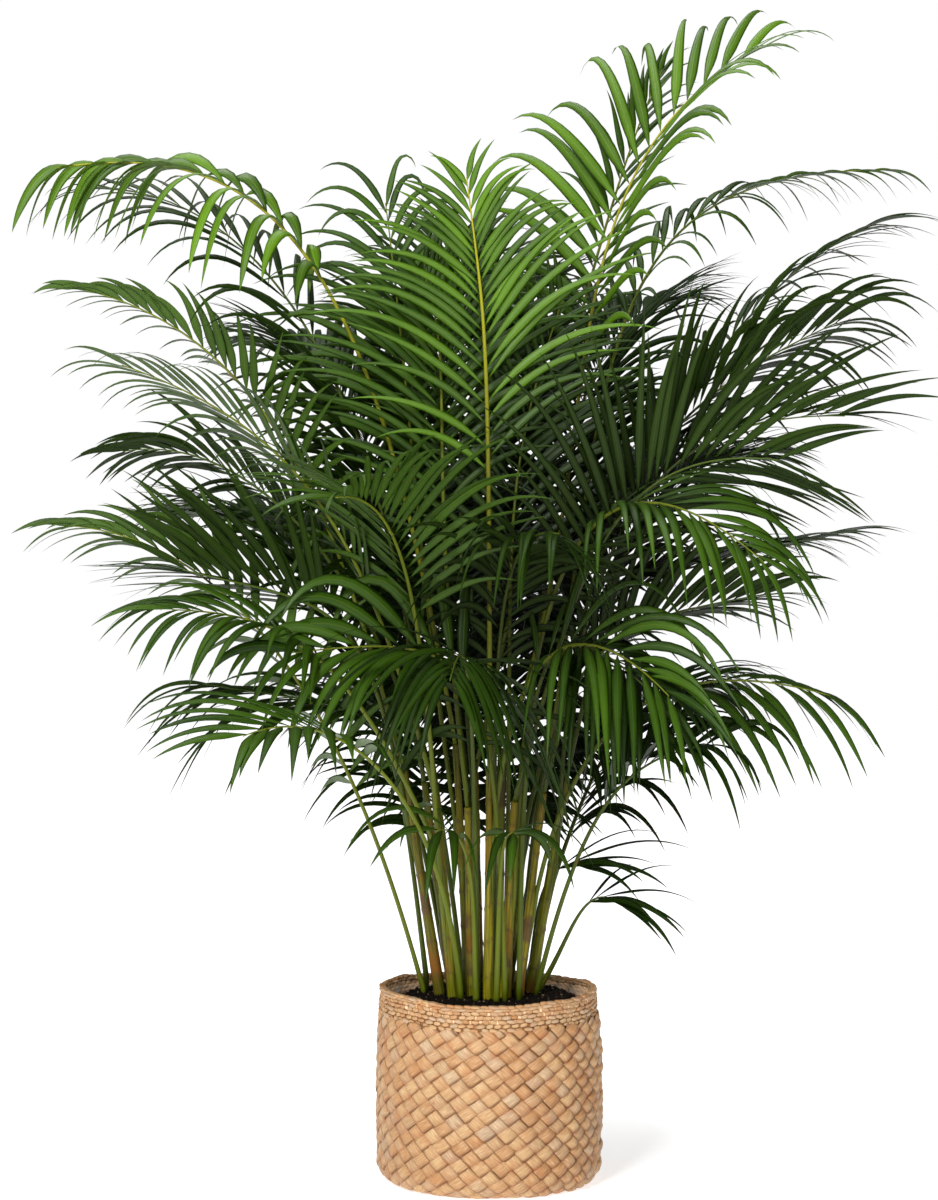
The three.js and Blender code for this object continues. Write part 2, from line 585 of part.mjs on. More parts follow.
function place(name, manifold, look) {
  const mesh = manifold.getMesh();
  const geometry = new THREE.BufferGeometry();
  geometry.setAttribute('position', new THREE.BufferAttribute(mesh.vertProperties, 3));
  geometry.setIndex(new THREE.BufferAttribute(mesh.triVerts, 1));
  const material = new THREE.MeshStandardMaterial({ ...looks[look], metalness: 0 });
  const body = new THREE.Mesh(geometry, material);
  body.name = name;
  group.add(body);
}

// What already stands, with the box each solid fills
const standing = [];

function keep(manifold, owner) {
  const { min, max } = manifold.boundingBox();
  standing.push({ manifold, owner, min, max });
}

function touches(candidate, owner) {
  const { min, max } = candidate.boundingBox();
  const near = standing.filter((other) => other.owner !== owner
    && [0, 1, 2].every((axis) => other.min[axis] < max[axis] && other.max[axis] > min[axis]));
  return near.some((other) => !candidate.intersect(other.manifold).isEmpty());
}

// Ways to shift a leaflet that would touch something, tried in turn before it is left out
const changes = [
  { length: 1, lift: 0 },
  { length: 1, lift: 14 },
  { length: 1, lift: -14 },
  { length: 0.8, lift: 0 },
  { length: 0.8, lift: 22 },
  { length: 0.8, lift: -22 },
  { length: 0.6, lift: 0 },
  { length: 0.6, lift: 20 },
];

place('basket', basketSolid(), 'basket');
place('film', filmSolid(), 'film');
place('soil', soilSolid(), 'soil');
stems.forEach((stem, i) => {
  const cane = stemSolid(stem);
  keep(cane, 'stem');
  place(`stem_${String(i + 1).padStart(2, '0')}`, cane, 'stem');
});

const curves = layRibs();
const ribs = fronds.map((frond, n) => {
  const rib = ribSolid(curves[n], frond);
  keep(rib, frond.name);
  return rib;
});

fronds.forEach((frond, n) => {
  const leaflets = [];
  const seed = n * 31;
  for (let k = 0; k < ask(frond, 'pairs'); k += 1) {
    for (const hand of [-1, 1]) {
      for (const change of changes) {
        const line = leafletLine(frond, curves[n], seed, k, hand, change);
        if (!touches(leafletSolid(line, leafletClearance), frond.name)) {
          leaflets.push(leafletSolid(line, 0));
          break;
        }
      }
    }
  }
  leaflets.forEach((leaflet) => keep(leaflet, frond.name));
  const whole = leaflets.reduce((sum, leaflet) => sum.add(leaflet), ribs[n]);
  place(`frond_${frond.name}`, whole, frond.tone);
});

export default group;
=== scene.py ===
import math

import bmesh
import bpy
import numpy as np
from mathutils import Matrix, Vector


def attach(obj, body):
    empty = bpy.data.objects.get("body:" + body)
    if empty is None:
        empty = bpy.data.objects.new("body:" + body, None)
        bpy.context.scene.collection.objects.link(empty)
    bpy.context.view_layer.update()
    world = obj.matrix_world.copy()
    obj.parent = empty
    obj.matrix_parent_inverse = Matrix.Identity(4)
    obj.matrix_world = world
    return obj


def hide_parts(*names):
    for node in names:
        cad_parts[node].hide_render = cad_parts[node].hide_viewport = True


# An areca palm in a round plaited basket: lengths in millimetres, turned to metres where a mesh is made
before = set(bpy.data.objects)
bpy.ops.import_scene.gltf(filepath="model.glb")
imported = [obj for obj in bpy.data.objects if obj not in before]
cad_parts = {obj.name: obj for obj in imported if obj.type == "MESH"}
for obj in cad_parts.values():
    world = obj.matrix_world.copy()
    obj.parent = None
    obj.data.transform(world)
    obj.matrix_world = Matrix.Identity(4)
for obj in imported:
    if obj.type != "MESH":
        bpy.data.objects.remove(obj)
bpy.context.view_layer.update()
mm = 0.001
print("frame loaded, nodes:", len(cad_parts))


# Meshes

def templateOf(bm):
    bmesh.ops.recalc_face_normals(bm, faces=bm.faces[:])
    bm.verts.index_update()
    points = np.array([v.co[:] for v in bm.verts])
    corners = np.array([v.index for f in bm.faces for v in f.verts])
    sizes = np.array([len(f.verts) for f in bm.faces])
    bm.free()
    return points, corners, sizes


def bladeTemplate(rows, columns, pointed=False):
    # a flat closed strip: x from -1 to 1 across, y from 0 to 1 along, z 1 on top and -1 underneath
    bm = bmesh.new()
    bmesh.ops.create_grid(bm, x_segments=columns, y_segments=rows, size=1)
    top = bm.verts[:]
    copy = bmesh.ops.duplicate(bm, geom=bm.verts[:] + bm.edges[:] + bm.faces[:])
    under = [g for g in copy["geom"] if isinstance(g, bmesh.types.BMVert)]
    for side, verts in ((1, top), (-1, under)):
        for v in verts:
            x, y = v.co.x, (v.co.y + 1) / 2
            atEnd = y < 1e-4 or y > 1 - 1e-4
            edge = atEnd or abs(x) > 1 - 1e-4
            v.co = (0 if atEnd and pointed else x, y, 0 if edge else side)
    bmesh.ops.remove_doubles(bm, verts=bm.verts[:], dist=1e-5)
    return templateOf(bm)


def rodTemplate(rings, sides):
    # a closed rod of radius 1 round the y axis, y from 0 to 1
    bm = bmesh.new()
    bmesh.ops.create_cone(bm, cap_ends=True, segments=sides, radius1=1, radius2=1, depth=1)
    long = [e for e in bm.edges if abs(e.verts[0].co.z - e.verts[1].co.z) > 0.5]
    bmesh.ops.subdivide_edges(bm, edges=long, cuts=rings - 2, use_grid_fill=True)
    bmesh.ops.rotate(bm, verts=bm.verts[:], matrix=Matrix.Rotation(-math.pi / 2, 3, "X"))
    bmesh.ops.translate(bm, verts=bm.verts[:], vec=(0, 0.5, 0))
    return templateOf(bm)


def grainTemplate(around, tall):
    bm = bmesh.new()
    bmesh.ops.create_uvsphere(bm, u_segments=around, v_segments=tall, radius=1)
    return templateOf(bm)


def crumbTemplate():
    bm = bmesh.new()
    bmesh.ops.create_icosphere(bm, subdivisions=1, radius=1)
    return templateOf(bm)


def placeObject(name, data):
    placed = bpy.data.objects.new(name, data)
    bpy.context.collection.objects.link(placed)
    return placed


def buildPiece(name, batches):
    # each batch is a template, its copies' points, their places on the uv map and the material's four numbers
    places, loops, sizes, maps, data = [], [], [], [], []
    base = 0
    for template, points, uv, tint in batches:
        copies, count = points.shape[:2]
        offsets = base + count * np.arange(copies)[:, None]
        places.append(points.reshape(-1, 3) * mm)
        loops.append((template[1][None] + offsets).ravel())
        sizes.append(np.tile(template[2], copies))
        maps.append(np.broadcast_to(uv, (copies, count, 2))[:, template[1]].reshape(-1, 2))
        data.append(np.broadcast_to(tint, (copies, count, 4)).reshape(-1, 4))
        base += copies * count
    places, loops, sizes = np.concatenate(places), np.concatenate(loops), np.concatenate(sizes)
    mesh = bpy.data.meshes.new(name)
    mesh.vertices.add(len(places))
    mesh.vertices.foreach_set("co", places.astype(np.float32).ravel())
    mesh.loops.add(len(loops))
    mesh.loops.foreach_set("vertex_index", loops.astype(np.int32))
    mesh.polygons.add(len(sizes))
    mesh.polygons.foreach_set("loop_start", (np.cumsum(sizes) - sizes).astype(np.int32))
    mesh.update(calc_edges=True)
    mesh.shade_smooth()
    uvMap = mesh.uv_layers.new(name="pieceMap")
    uvMap.data.foreach_set("uv", np.concatenate(maps).astype(np.float32).ravel())
    tints = mesh.attributes.new("pieceData", "FLOAT_COLOR", "POINT")
    tints.data.foreach_set("color", np.concatenate(data).astype(np.float32).ravel())
    return placeObject(name, mesh)


def spunPiece(name, profile, steps):
    # a closed outline of (radius, height) turned once round the upright axis
    bm = bmesh.new()
    ring = [bm.verts.new((r * mm, 0, z * mm)) for r, z in profile]
    edges = [bm.edges.new((a, b)) for a, b in zip(ring, ring[1:] + ring[:1])]
    bmesh.ops.spin(bm, geom=ring + edges, cent=(0, 0, 0), axis=(0, 0, 1), angle=2 * math.pi,
                   steps=steps, use_merge=True)
    bmesh.ops.remove_doubles(bm, verts=bm.verts[:], dist=1e-6)
    bmesh.ops.recalc_face_normals(bm, faces=bm.faces[:])
    mesh = bpy.data.meshes.new(name)
    bm.to_mesh(mesh)
    bm.free()
    mesh.shade_smooth()
    return placeObject(name, mesh)


def dress(piece, material, nodes):
    piece.data.materials.append(material)
    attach(piece, "root")
    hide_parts(*nodes)
    print("  %s: %d triangles" % (piece.name, sum(len(p.vertices) - 2 for p in piece.data.polygons)))
    return piece


def repeatable(n):
    # a number from 0 to 1 that looks random but is the same on every run
    wave = np.sin(n * 12.9898) * 43758.5453
    return wave - np.floor(wave)


def ripple(points, size, seed):
    # smooth waves from -1 to 1, about size apart, through points in space
    rng = np.random.default_rng(seed)
    total = np.zeros(points.shape[:-1])
    for _ in range(7):
        way = rng.normal(size=3)
        way /= np.linalg.norm(way)
        length = size * rng.uniform(0.7, 1.6)
        total += np.sin(points @ way * (2 * math.pi / length) + rng.uniform(0, 2 * math.pi))
    return total / 3.2


def unit(v):
    return v / np.maximum(np.linalg.norm(v, axis=-1, keepdims=True), 1e-12)


def smoothStep(x):
    x = np.clip(x, 0, 1)
    return x * x * (3 - 2 * x)


# Shading

def hexColour(text):
    parts = [int(text[i:i + 2], 16) / 255 for i in (1, 3, 5)]
    return tuple(p / 12.92 if p < 0.04045 else ((p + 0.055) / 1.055) ** 2.4 for p in parts) + (1,)


def addNode(tree, kind, inputs=None, **settings):
    node = tree.nodes.new(kind)
    for key, value in settings.items():
        setattr(node, key, value)
    for key, value in (inputs or {}).items():
        if isinstance(value, bpy.types.NodeSocket):
            tree.links.new(value, node.inputs[key])
        else:
            node.inputs[key].default_value = value
    return node


def mixColour(tree, factor, a, b, blend="MIX"):
    node = addNode(tree, "ShaderNodeMix", {0: factor, 6: a, 7: b}, data_type="RGBA", blend_type=blend)
    return node.outputs[2]


def maths(tree, operation, a, b=0.0, c=0.0, clamp=False):
    node = addNode(tree, "ShaderNodeMath", {0: a, 1: b, 2: c}, operation=operation, use_clamp=clamp)
    return node.outputs[0]


def overlay(tree, mask, amount, under, over, blend="MIX"):
    # one colour laid over another where the mask is, as strongly as the amount
    return mixColour(tree, maths(tree, "MULTIPLY", mask, amount), under, hexColour(over), blend)


def between(tree, value, low, high, first=0.0, last=1.0):
    # runs from first to last while the value runs from low to high
    inputs = {"Value": value, 1: low, 2: high, 3: first, 4: last}
    return addNode(tree, "ShaderNodeMapRange", inputs).outputs[0]


def drawOut(tree, place, stretch):
    # a place drawn out along one way, for streaks
    return addNode(tree, "ShaderNodeVectorMath", {0: place, 1: stretch}, operation="MULTIPLY").outputs[0]


def ramp(tree, factor, stops):
    node = addNode(tree, "ShaderNodeValToRGB", {0: factor})
    while len(node.color_ramp.elements) < len(stops):
        node.color_ramp.elements.new(0.5)
    for element, (place, colour) in zip(node.color_ramp.elements, stops):
        element.position = place
        element.color = hexColour(colour)
    return node.outputs[0]


def effect(name, inputs, outputs):
    group = bpy.data.node_groups.new(name, "ShaderNodeTree")
    for label, kind, value in inputs:
        socket = group.interface.new_socket(label, in_out="INPUT", socket_type=kind)
        socket.default_value = value
    for label, kind in outputs:
        group.interface.new_socket(label, in_out="OUTPUT", socket_type=kind)
    start = group.nodes.new("NodeGroupInput").outputs
    end = group.nodes.new("NodeGroupOutput").inputs
    return group, start, end


def useEffect(tree, group, inputs):
    return addNode(tree, "ShaderNodeGroup", inputs, node_tree=group).outputs


def fibreEffect():
    # long fibres: noise drawn out along one way
    inputs = [("Vector", "NodeSocketVector", (0, 0, 0)), ("Stretch", "NodeSocketVector", (1, 1, 1))]
    outputs = [("Shade", "NodeSocketFloat"), ("Height", "NodeSocketFloat")]
    group, start, end = effect("fibres", inputs, outputs)
    drawn = drawOut(group, start["Vector"], start["Stretch"])
    broad = addNode(group, "ShaderNodeTexNoise", {"Vector": drawn, "Scale": 1, "Detail": 3})
    fine = addNode(group, "ShaderNodeTexNoise", {"Vector": drawn, "Scale": 3.1, "Detail": 2})
    group.links.new(broad.outputs[0], end["Shade"])
    group.links.new(maths(group, "MULTIPLY", fine.outputs[0], 0.6), end["Height"])
    return group


def blotchEffect():
    # soft-edged patches
    inputs = [("Vector", "NodeSocketVector", (0, 0, 0)), ("Scale", "NodeSocketFloat", 10),
              ("From", "NodeSocketFloat", 0.55), ("To", "NodeSocketFloat", 0.65)]
    group, start, end = effect("blotches", inputs, [("Mask", "NodeSocketFloat")])
    noise = {"Vector": start["Vector"], "Scale": start["Scale"], "Detail": 3}
    cloud = addNode(group, "ShaderNodeTexNoise", noise).outputs[0]
    group.links.new(between(group, cloud, start["From"], start["To"]), end["Mask"])
    return group


def veinEffect():
    # a leaflet's midrib and the fine veins beside it, on a map that runs across in x and along in y
    outputs = [("Midrib", "NodeSocketFloat"), ("Height", "NodeSocketFloat")]
    group, start, end = effect("veins", [("Map", "NodeSocketVector", (0, 0, 0))], outputs)
    across = addNode(group, "ShaderNodeSeparateXYZ", {0: start["Map"]}).outputs[0]
    off = maths(group, "ABSOLUTE", maths(group, "SUBTRACT", across, 0.5))
    rib = between(group, off, 0.015, 0.06, 1.0, 0.0)
    fine = maths(group, "SINE", maths(group, "MULTIPLY", across, 95.0))
    broad = maths(group, "SINE", maths(group, "MULTIPLY", across, 25.0))
    height = maths(group, "ADD", maths(group, "MULTIPLY", fine, 0.18), maths(group, "MULTIPLY", broad, 0.3))
    group.links.new(rib, end["Midrib"])
    group.links.new(maths(group, "ADD", height, rib), end["Height"])
    return group


fibres = fibreEffect()
blotches = blotchEffect()
veins = veinEffect()


def patches(tree, place, scale, low, high):
    return useEffect(tree, blotches, {"Vector": place, "Scale": scale, "From": low, "To": high})[0]


def newMaterial(name):
    # with it come the place on the object, the place on the piece's map and the piece's four numbers
    material = bpy.data.materials.new(name)
    material.use_nodes = True
    tree = material.node_tree
    where = addNode(tree, "ShaderNodeTexCoord").outputs["Object"]
    mapped = addNode(tree, "ShaderNodeUVMap", uv_map="pieceMap").outputs[0]
    dealt = addNode(tree, "ShaderNodeAttribute", attribute_name="pieceData").outputs
    data = [*addNode(tree, "ShaderNodeSeparateColor", {0: dealt["Color"]}).outputs[:3], dealt["Alpha"]]
    return material, tree, tree.nodes["Principled BSDF"], where, mapped, data


def paint(tree, shader, colour, rough, shine=0.5):
    tree.links.new(colour, shader.inputs["Base Color"])
    if isinstance(rough, bpy.types.NodeSocket):
        tree.links.new(rough, shader.inputs["Roughness"])
    else:
        shader.inputs["Roughness"].default_value = rough
    shader.inputs["Specular IOR Level"].default_value = shine


def roughBy(tree, mask, amount, base):
    return maths(tree, "ADD", maths(tree, "MULTIPLY", mask, amount), base)


def relief(tree, shader, height, strength, distance):
    bump = addNode(tree, "ShaderNodeBump", {"Height": height, "Strength": strength, "Distance": distance})
    tree.links.new(bump.outputs[0], shader.inputs["Normal"])


# The palm: stems, stalks and leaflets

palm = {
    "soilTop": 245, "gap": 0.3, "stemTaper": 0.5,
    "stalkRadius": 3.4, "ribTipRadius": 1.5,   # as the rib is laid
}

# Each stem: where it leaves the soil, which way and how far it leans, its length and foot radius
stems = [
    dict(x=-64, y=-8, heading=190, lean=9, length=300, radius=8),
    dict(x=-48, y=26, heading=160, lean=8, length=280, radius=7),
    dict(x=-46, y=-32, heading=215, lean=6, length=270, radius=8),
    dict(x=-22, y=-26, heading=250, lean=3, length=250, radius=7.5),
    dict(x=-26, y=10, heading=170, lean=3, length=330, radius=7),
    dict(x=0, y=-52, heading=280, lean=2, length=300, radius=7.5),
    dict(x=-12, y=44, heading=100, lean=6, length=290, radius=7),
    dict(x=22, y=-38, heading=300, lean=5, length=260, radius=8),
    dict(x=12, y=4, heading=60, lean=3, length=320, radius=7),
    dict(x=40, y=-20, heading=350, lean=7, length=270, radius=7),
    dict(x=56, y=8, heading=5, lean=9.5, length=290, radius=7.5),
    dict(x=28, y=38, heading=50, lean=7, length=280, radius=7),
]

# Each frond: its stem (and how far up it) or its own spot in the soil, the heading, how far out and up
# its rib runs, how far it leans at its foot and its tip, and how its leaflets stand
fronds = [
    dict(name="mid_1", stem=5, heading=225, reach=43, rise=770, lean=0, tip=10, pull=0.8, ease=0.25,
         roll=135, leaf=270, wide=14, bare=0.28, pairs=22, open=42, shut=20, end=0.2, vee=4, droop=0.8,
         late=1, tone="bright"),
    dict(name="right_1", stem=8, heading=14, reach=350, rise=948, lean=22, tip=60, pull=0.42,
         ease=0.36, roll=-24, leaf=255, wide=18, bare=0.47, pairs=17, open=64, shut=24, vee=24,
         droop=1.3, late=3, taper=3, tone="bright"),
    dict(name="left_1", stem=4, heading=186, reach=525, rise=760, lean=10, tip=100, pull=0.65,
         ease=0.35, roll=24, leaf=190, wide=20, bare=0.48, pairs=12, open=36, shut=14, end=0.58,
         vee=42, droop=4, late=1.3, taper=3, tone="bright"),
    dict(name="mid_2", stem=3, heading=172, reach=60, rise=705, lean=7, tip=20, pull=0.7, ease=0.2,
         roll=80, leaf=250, wide=13, bare=0.34, pairs=22, open=44, shut=20, end=0.3, vee=4, droop=0.8,
         late=1, tone="green"),
    dict(name="mid_3", root=(20, -18), heading=15, reach=85, rise=930, lean=2, tip=20, pull=0.65,
         ease=0.33, roll=-75, leaf=250, wide=13, bare=0.4, pairs=22, open=42, shut=20, end=0.3, vee=4,
         droop=0.7, late=1, tone="green"),
    dict(name="right_2", stem=6, heading=35, reach=325, rise=985, lean=15, tip=30, pull=0.4, ease=0.21,
         roll=-30, leaf=130, wide=11, bare=0.45, pairs=20, open=42, shut=6, end=0.5, vee=24, droop=0.8,
         late=0.9, tone="green"),
    dict(name="left_2", root=(-30, 34), heading=172, reach=505, rise=1085, lean=9, tip=86, pull=0.3,
         ease=0.34, roll=22, leaf=230, wide=15, bare=0.52, pairs=15, open=50, end=0.6, vee=6,
         droop=1.6, late=2, tone="deep"),
    dict(name="left_3", stem=0, heading=180, reach=445, rise=640, lean=16, tip=80, pull=0.3, ease=0.4,
         roll=-32, leaf=120, wide=14, bare=0.42, pairs=24, open=62, shut=6, vee=36, droop=0.8,
         late=1.2, tone="green"),
    dict(name="left_4", stem=2, heading=192, reach=410, rise=555, lean=16, tip=72, pull=0.45, ease=0.4,
         roll=-14, leaf=210, wide=13, bare=0.32, pairs=19, open=36, shut=22, vee=8, droop=1.2,
         late=2.4, tone="green"),
    dict(name="left_5", stem=1, heading=176, reach=410, rise=445, lean=10, tip=100, pull=0.37,
         ease=0.33, roll=-36, leaf=160, wide=13, bare=0.38, pairs=22, open=40, vee=16, late=1.2,
         wild=1.3, tone="deep"),
    dict(name="left_6", root=(-84, -2), heading=184, reach=470, rise=620, lean=16, tip=86, pull=0.2,
         ease=0.4, roll=-48, leaf=170, wide=14, bare=0.38, pairs=20, open=66, shut=6, vee=36, late=1.2,
         wild=1.3, tone="green"),
    dict(name="left_7", stem=2, at=0.75, heading=206, reach=365, rise=310, lean=26, tip=88, pull=0.6,
         ease=0.33, roll=20, leaf=200, wide=17, bare=0.46, pairs=13, open=57, shut=22, vee=20,
         droop=1.35, late=1.1, wild=1.3, tone="green"),
    dict(name="left_8", root=(-80, 24), heading=182, reach=300, rise=410, lean=7, tip=80, pull=0.85,
         ease=0.53, roll=20, leaf=250, wide=17, bare=0.48, pairs=10, open=40, shut=6, vee=12,
         droop=1.9, wild=1.3, tone="deep"),
    dict(name="left_9", stem=0, at=0.8, heading=196, reach=300, rise=325, lean=11, tip=76, pull=0.7,
         ease=0.45, roll=-30, leaf=260, wide=14, bare=0.54, pairs=17, open=46, shut=22, vee=32,
         droop=0.4, late=0.9, wild=1.5, tone="deep"),
    dict(name="right_3", root=(26, 20), heading=14, reach=540, rise=1115, lean=12, tip=88, pull=0.65,
         ease=0.4, roll=-12, leaf=150, wide=13, bare=0.55, pairs=17, open=38, shut=10, droop=1.8,
         tone="green"),
    dict(name="right_4", stem=10, heading=8, reach=420, rise=745, lean=13, tip=64, pull=0.42,
         ease=0.33, roll=-6, leaf=170, wide=13, bare=0.4, pairs=22, open=44, shut=14, end=0.64, vee=20,
         late=0.9, tone="deep"),
    dict(name="right_5", stem=10, at=0.6, heading=352, reach=370, rise=715, lean=2, tip=66, pull=0.6,
         ease=0.33, roll=30, leaf=220, wide=13, bare=0.52, pairs=22, open=42, shut=22, end=0.64,
         vee=24, droop=1.2, wild=1.3, tone="deep"),
    dict(name="right_6", stem=9, heading=356, reach=395, rise=495, lean=15, tip=92, pull=0.4, ease=0.5,
         roll=20, leaf=245, wide=13, bare=0.4, pairs=22, open=50, shut=22, end=0.6, vee=40, droop=0.5,
         late=1.2, wild=1.4, tone="deep"),
    dict(name="right_7", stem=7, heading=338, reach=360, rise=440, lean=18, tip=98, pull=0.45,
         ease=0.45, roll=48, leaf=250, wide=13, bare=0.4, pairs=20, open=54, shut=26, end=0.6, vee=24,
         droop=0.6, late=1.2, wild=1.3, tone="deep"),
    dict(name="right_8", stem=7, at=0.6, heading=325, reach=370, rise=415, lean=0, tip=127, pull=0.95,
         ease=0.45, roll=-20, leaf=230, wide=16, bare=0.47, pairs=14, shut=14, vee=12, droop=2.8,
         late=2.1, wild=1.3, tone="green"),
    dict(name="right_9", stem=11, at=0.8, heading=358, reach=405, rise=385, lean=13, tip=76, pull=0.67,
         ease=0.53, leaf=190, wide=13, bare=0.4, pairs=28, open=45, end=0.6, wild=1.3, tone="deep"),
    dict(name="right_10", stem=9, at=0.5, heading=350, reach=385, rise=265, lean=12, tip=106, pull=0.6,
         ease=0.4, roll=-29, leaf=220, wide=17, bare=0.4, pairs=10, open=58, shut=10, vee=0, droop=1.9,
         late=1.2, tone="green"),
    dict(name="right_11", root=(62, -14), heading=338, reach=245, rise=335, lean=15, tip=84, pull=0.57,
         ease=0.33, roll=-30, leaf=250, wide=15, bare=0.48, pairs=11, open=54, shut=22, vee=36,
         droop=2.4, late=1.8, wild=1.5, tone="deep"),
    dict(name="low_1", root=(66, 24), heading=346, reach=106, rise=124, lean=34, tip=112, pull=0.5,
         ease=0.33, roll=-26, leaf=155, wide=13, bare=0.66, pairs=4, open=36, shut=10, vee=-8,
         droop=1.15, late=1.6, tone="deep"),
    dict(name="low_2", root=(52, 26), heading=345, reach=66, rise=170, lean=8, tip=88, roll=-24,
         leaf=175, wide=16, bare=0.8, pairs=3, open=27, shut=10, vee=-8, droop=1, late=1.7,
         tone="deep"),
    dict(name="low_3", root=(10, -72), heading=300, reach=48, rise=222, lean=4, tip=104, pull=0.6,
         ease=0.2, roll=-10, leaf=150, wide=19, bare=0.76, pairs=3, open=64, shut=26, vee=10,
         droop=3.4, tone="green"),
    dict(name="low_4", root=(-16, -62), heading=222, reach=70, rise=225, lean=4, tip=100, roll=24,
         leaf=175, wide=17, bare=0.74, pairs=3, open=58, shut=20, vee=16, droop=2.6, late=1.4,
         tone="green"),
    dict(name="near_1", root=(22, -68), heading=200, reach=300, rise=455, lean=2, tip=96, pull=0.85,
         ease=0.5, roll=52, leaf=240, wide=20, bare=0.48, pairs=9, open=46, shut=14, vee=28, droop=2.6,
         late=2.1, taper=2.6, tone="green"),
    dict(name="near_2", stem=5, at=0.7, heading=318, reach=290, rise=195, lean=4, tip=128, pull=0.9,
         ease=0.43, roll=-42, leaf=240, wide=16, bare=0.36, pairs=12, open=62, vee=28, droop=2,
         late=1.5, wild=1.4, tone="green"),
    dict(name="near_3", stem=2, at=0.5, heading=243, reach=280, rise=515, lean=8, tip=96, pull=0.6,
         leaf=245, wide=14, bare=0.45, pairs=21, droop=0.7, tone="green"),
    dict(name="near_4", root=(8, -32), heading=288, reach=250, rise=605, lean=0, tip=96, pull=0.6,
         ease=0.43, roll=12, leaf=235, wide=13, bare=0.44, pairs=22, open=46, vee=-6, droop=2.1,
         wild=1.8, tone="deep"),
    dict(name="near_5", root=(40, -58), heading=312, reach=260, rise=395, lean=1, tip=125, pull=0.95,
         ease=0.6, roll=-32, leaf=200, wide=14, bare=0.66, pairs=11, open=58, shut=18, vee=8,
         droop=2.6, late=1.2, wild=1.6, tone="deep"),
    dict(name="near_6", root=(-14, -42), heading=262, reach=250, rise=425, lean=6, tip=118, pull=0.75,
         ease=0.43, roll=18, leaf=260, wide=14, bare=0.38, pairs=19, open=66, shut=26, vee=14,
         droop=2.5, late=0.9, wild=1.8, tone="deep"),
    dict(name="near_7", root=(-36, -50), heading=232, reach=420, rise=362, lean=7, tip=104, pull=0.5,
         ease=0.33, roll=16, leaf=225, wide=20, bare=0.56, pairs=9, open=50, shut=22, vee=12,
         droop=0.85, late=1.6, tone="green"),
    dict(name="mid_4", stem=4, at=0.7, heading=160, reach=100, rise=825, lean=9, tip=8, roll=76,
         leaf=265, wide=13, bare=0.42, pairs=22, end=0.4, vee=8, droop=1.5, tone="green"),
    dict(name="far_1", stem=6, at=0.8, heading=95, reach=190, rise=795, lean=8, tip=45, leaf=260,
         wide=16, bare=0.24, pairs=64, wild=1.6, tone="deep"),
    dict(name="far_2", stem=1, at=0.6, heading=132, reach=330, rise=715, lean=10, tip=80, leaf=260,
         wide=16, bare=0.32, pairs=64, wild=1.6, tone="deep"),
    dict(name="far_3", stem=11, heading=52, reach=320, rise=665, lean=9, tip=75, leaf=260, wide=16,
         bare=0.28, pairs=64, wild=1.6, tone="deep"),
    dict(name="far_4", stem=6, at=0.5, heading=108, reach=420, rise=515, lean=14, tip=95, leaf=245,
         wide=16, bare=0.26, pairs=60, wild=1.6, tone="deep"),
    dict(name="far_5", stem=11, at=0.6, heading=36, reach=400, rise=555, lean=14, tip=90, leaf=245,
         wide=16, bare=0.28, pairs=60, wild=1.6, tone="deep"),
    dict(name="far_6", stem=1, at=0.3, heading=148, reach=400, rise=555, lean=12, tip=90, leaf=245,
         wide=16, bare=0.34, pairs=58, wild=1.6, tone="deep"),
    dict(name="far_7", root=(6, 52), heading=84, reach=400, rise=505, lean=12, tip=105, leaf=240,
         wide=14, bare=0.24, pairs=54, droop=1.6, wild=1.8, tone="deep"),
    dict(name="far_8", root=(-34, 56), heading=108, reach=370, rise=375, lean=18, tip=108, leaf=240,
         wide=14, bare=0.3, pairs=48, droop=1.6, wild=1.8, tone="deep"),
    dict(name="far_9", root=(50, 44), heading=48, reach=380, rise=385, lean=20, tip=105, leaf=240,
         wide=14, bare=0.3, pairs=48, droop=1.6, wild=1.8, tone="deep"),
    dict(name="right_12", root=(42, 2), heading=352, reach=325, rise=530, lean=3, tip=80, pull=0.75,
         ease=0.38, roll=36, leaf=195, wide=13, bare=0.47, pairs=20, open=45, vee=28, droop=0.8,
         late=2.1, tone="deep"),
]

frondRule = dict(pull=0.42, ease=0.33, roll=0, open=58, shut=18, end=0.5, vee=24, droop=0.9, late=1.5,
                 wild=1, taper=1.9)


def headingVector(heading, lean):
    a, b = math.radians(heading), math.radians(lean)
    return np.array([math.cos(a) * math.sin(b), math.sin(a) * math.sin(b), math.cos(b)])


def ask(frond, key):
    return frond.get(key, frondRule.get(key))


def stemPoint(stem, share):
    foot = np.array([stem["x"], stem["y"], palm["soilTop"]])
    return foot + headingVector(stem["heading"], stem["lean"]) * stem["length"] * np.asarray(share)[..., None]


def stemRadius(stem, share):
    return stem["radius"] * (1 - palm["stemTaper"] * np.asarray(share))


def stalkFoot(frond):
    if "root" in frond:
        return np.array([*frond["root"], palm["soilTop"] + palm["gap"]])
    stem = stems[frond["stem"]]
    if "at" not in frond:
        return stemPoint(stem, 1.0) + headingVector(stem["heading"], stem["lean"]) * palm["gap"]
    reach = stemRadius(stem, frond["at"]) + palm["stalkRadius"] / 2
    return stemPoint(stem, frond["at"]) + headingVector(frond["heading"], 90) * reach


def ribCurve(frond, sweep):
    out = headingVector(frond["heading"], 90)
    side = np.array([-out[1], out[0], 0])
    start = stalkFoot(frond)
    finish = start + out * frond["reach"] + np.array([0, 0, frond["rise"]])
    chord = np.linalg.norm(finish - start)
    rising = headingVector(frond["heading"], frond["lean"])
    falling = headingVector(frond["heading"], frond["tip"])
    first = start + rising * chord * ask(frond, "pull") + side * sweep
    second = finish - falling * chord * ask(frond, "ease") + side * sweep * 0.6
    return np.array([start, first, second, finish])


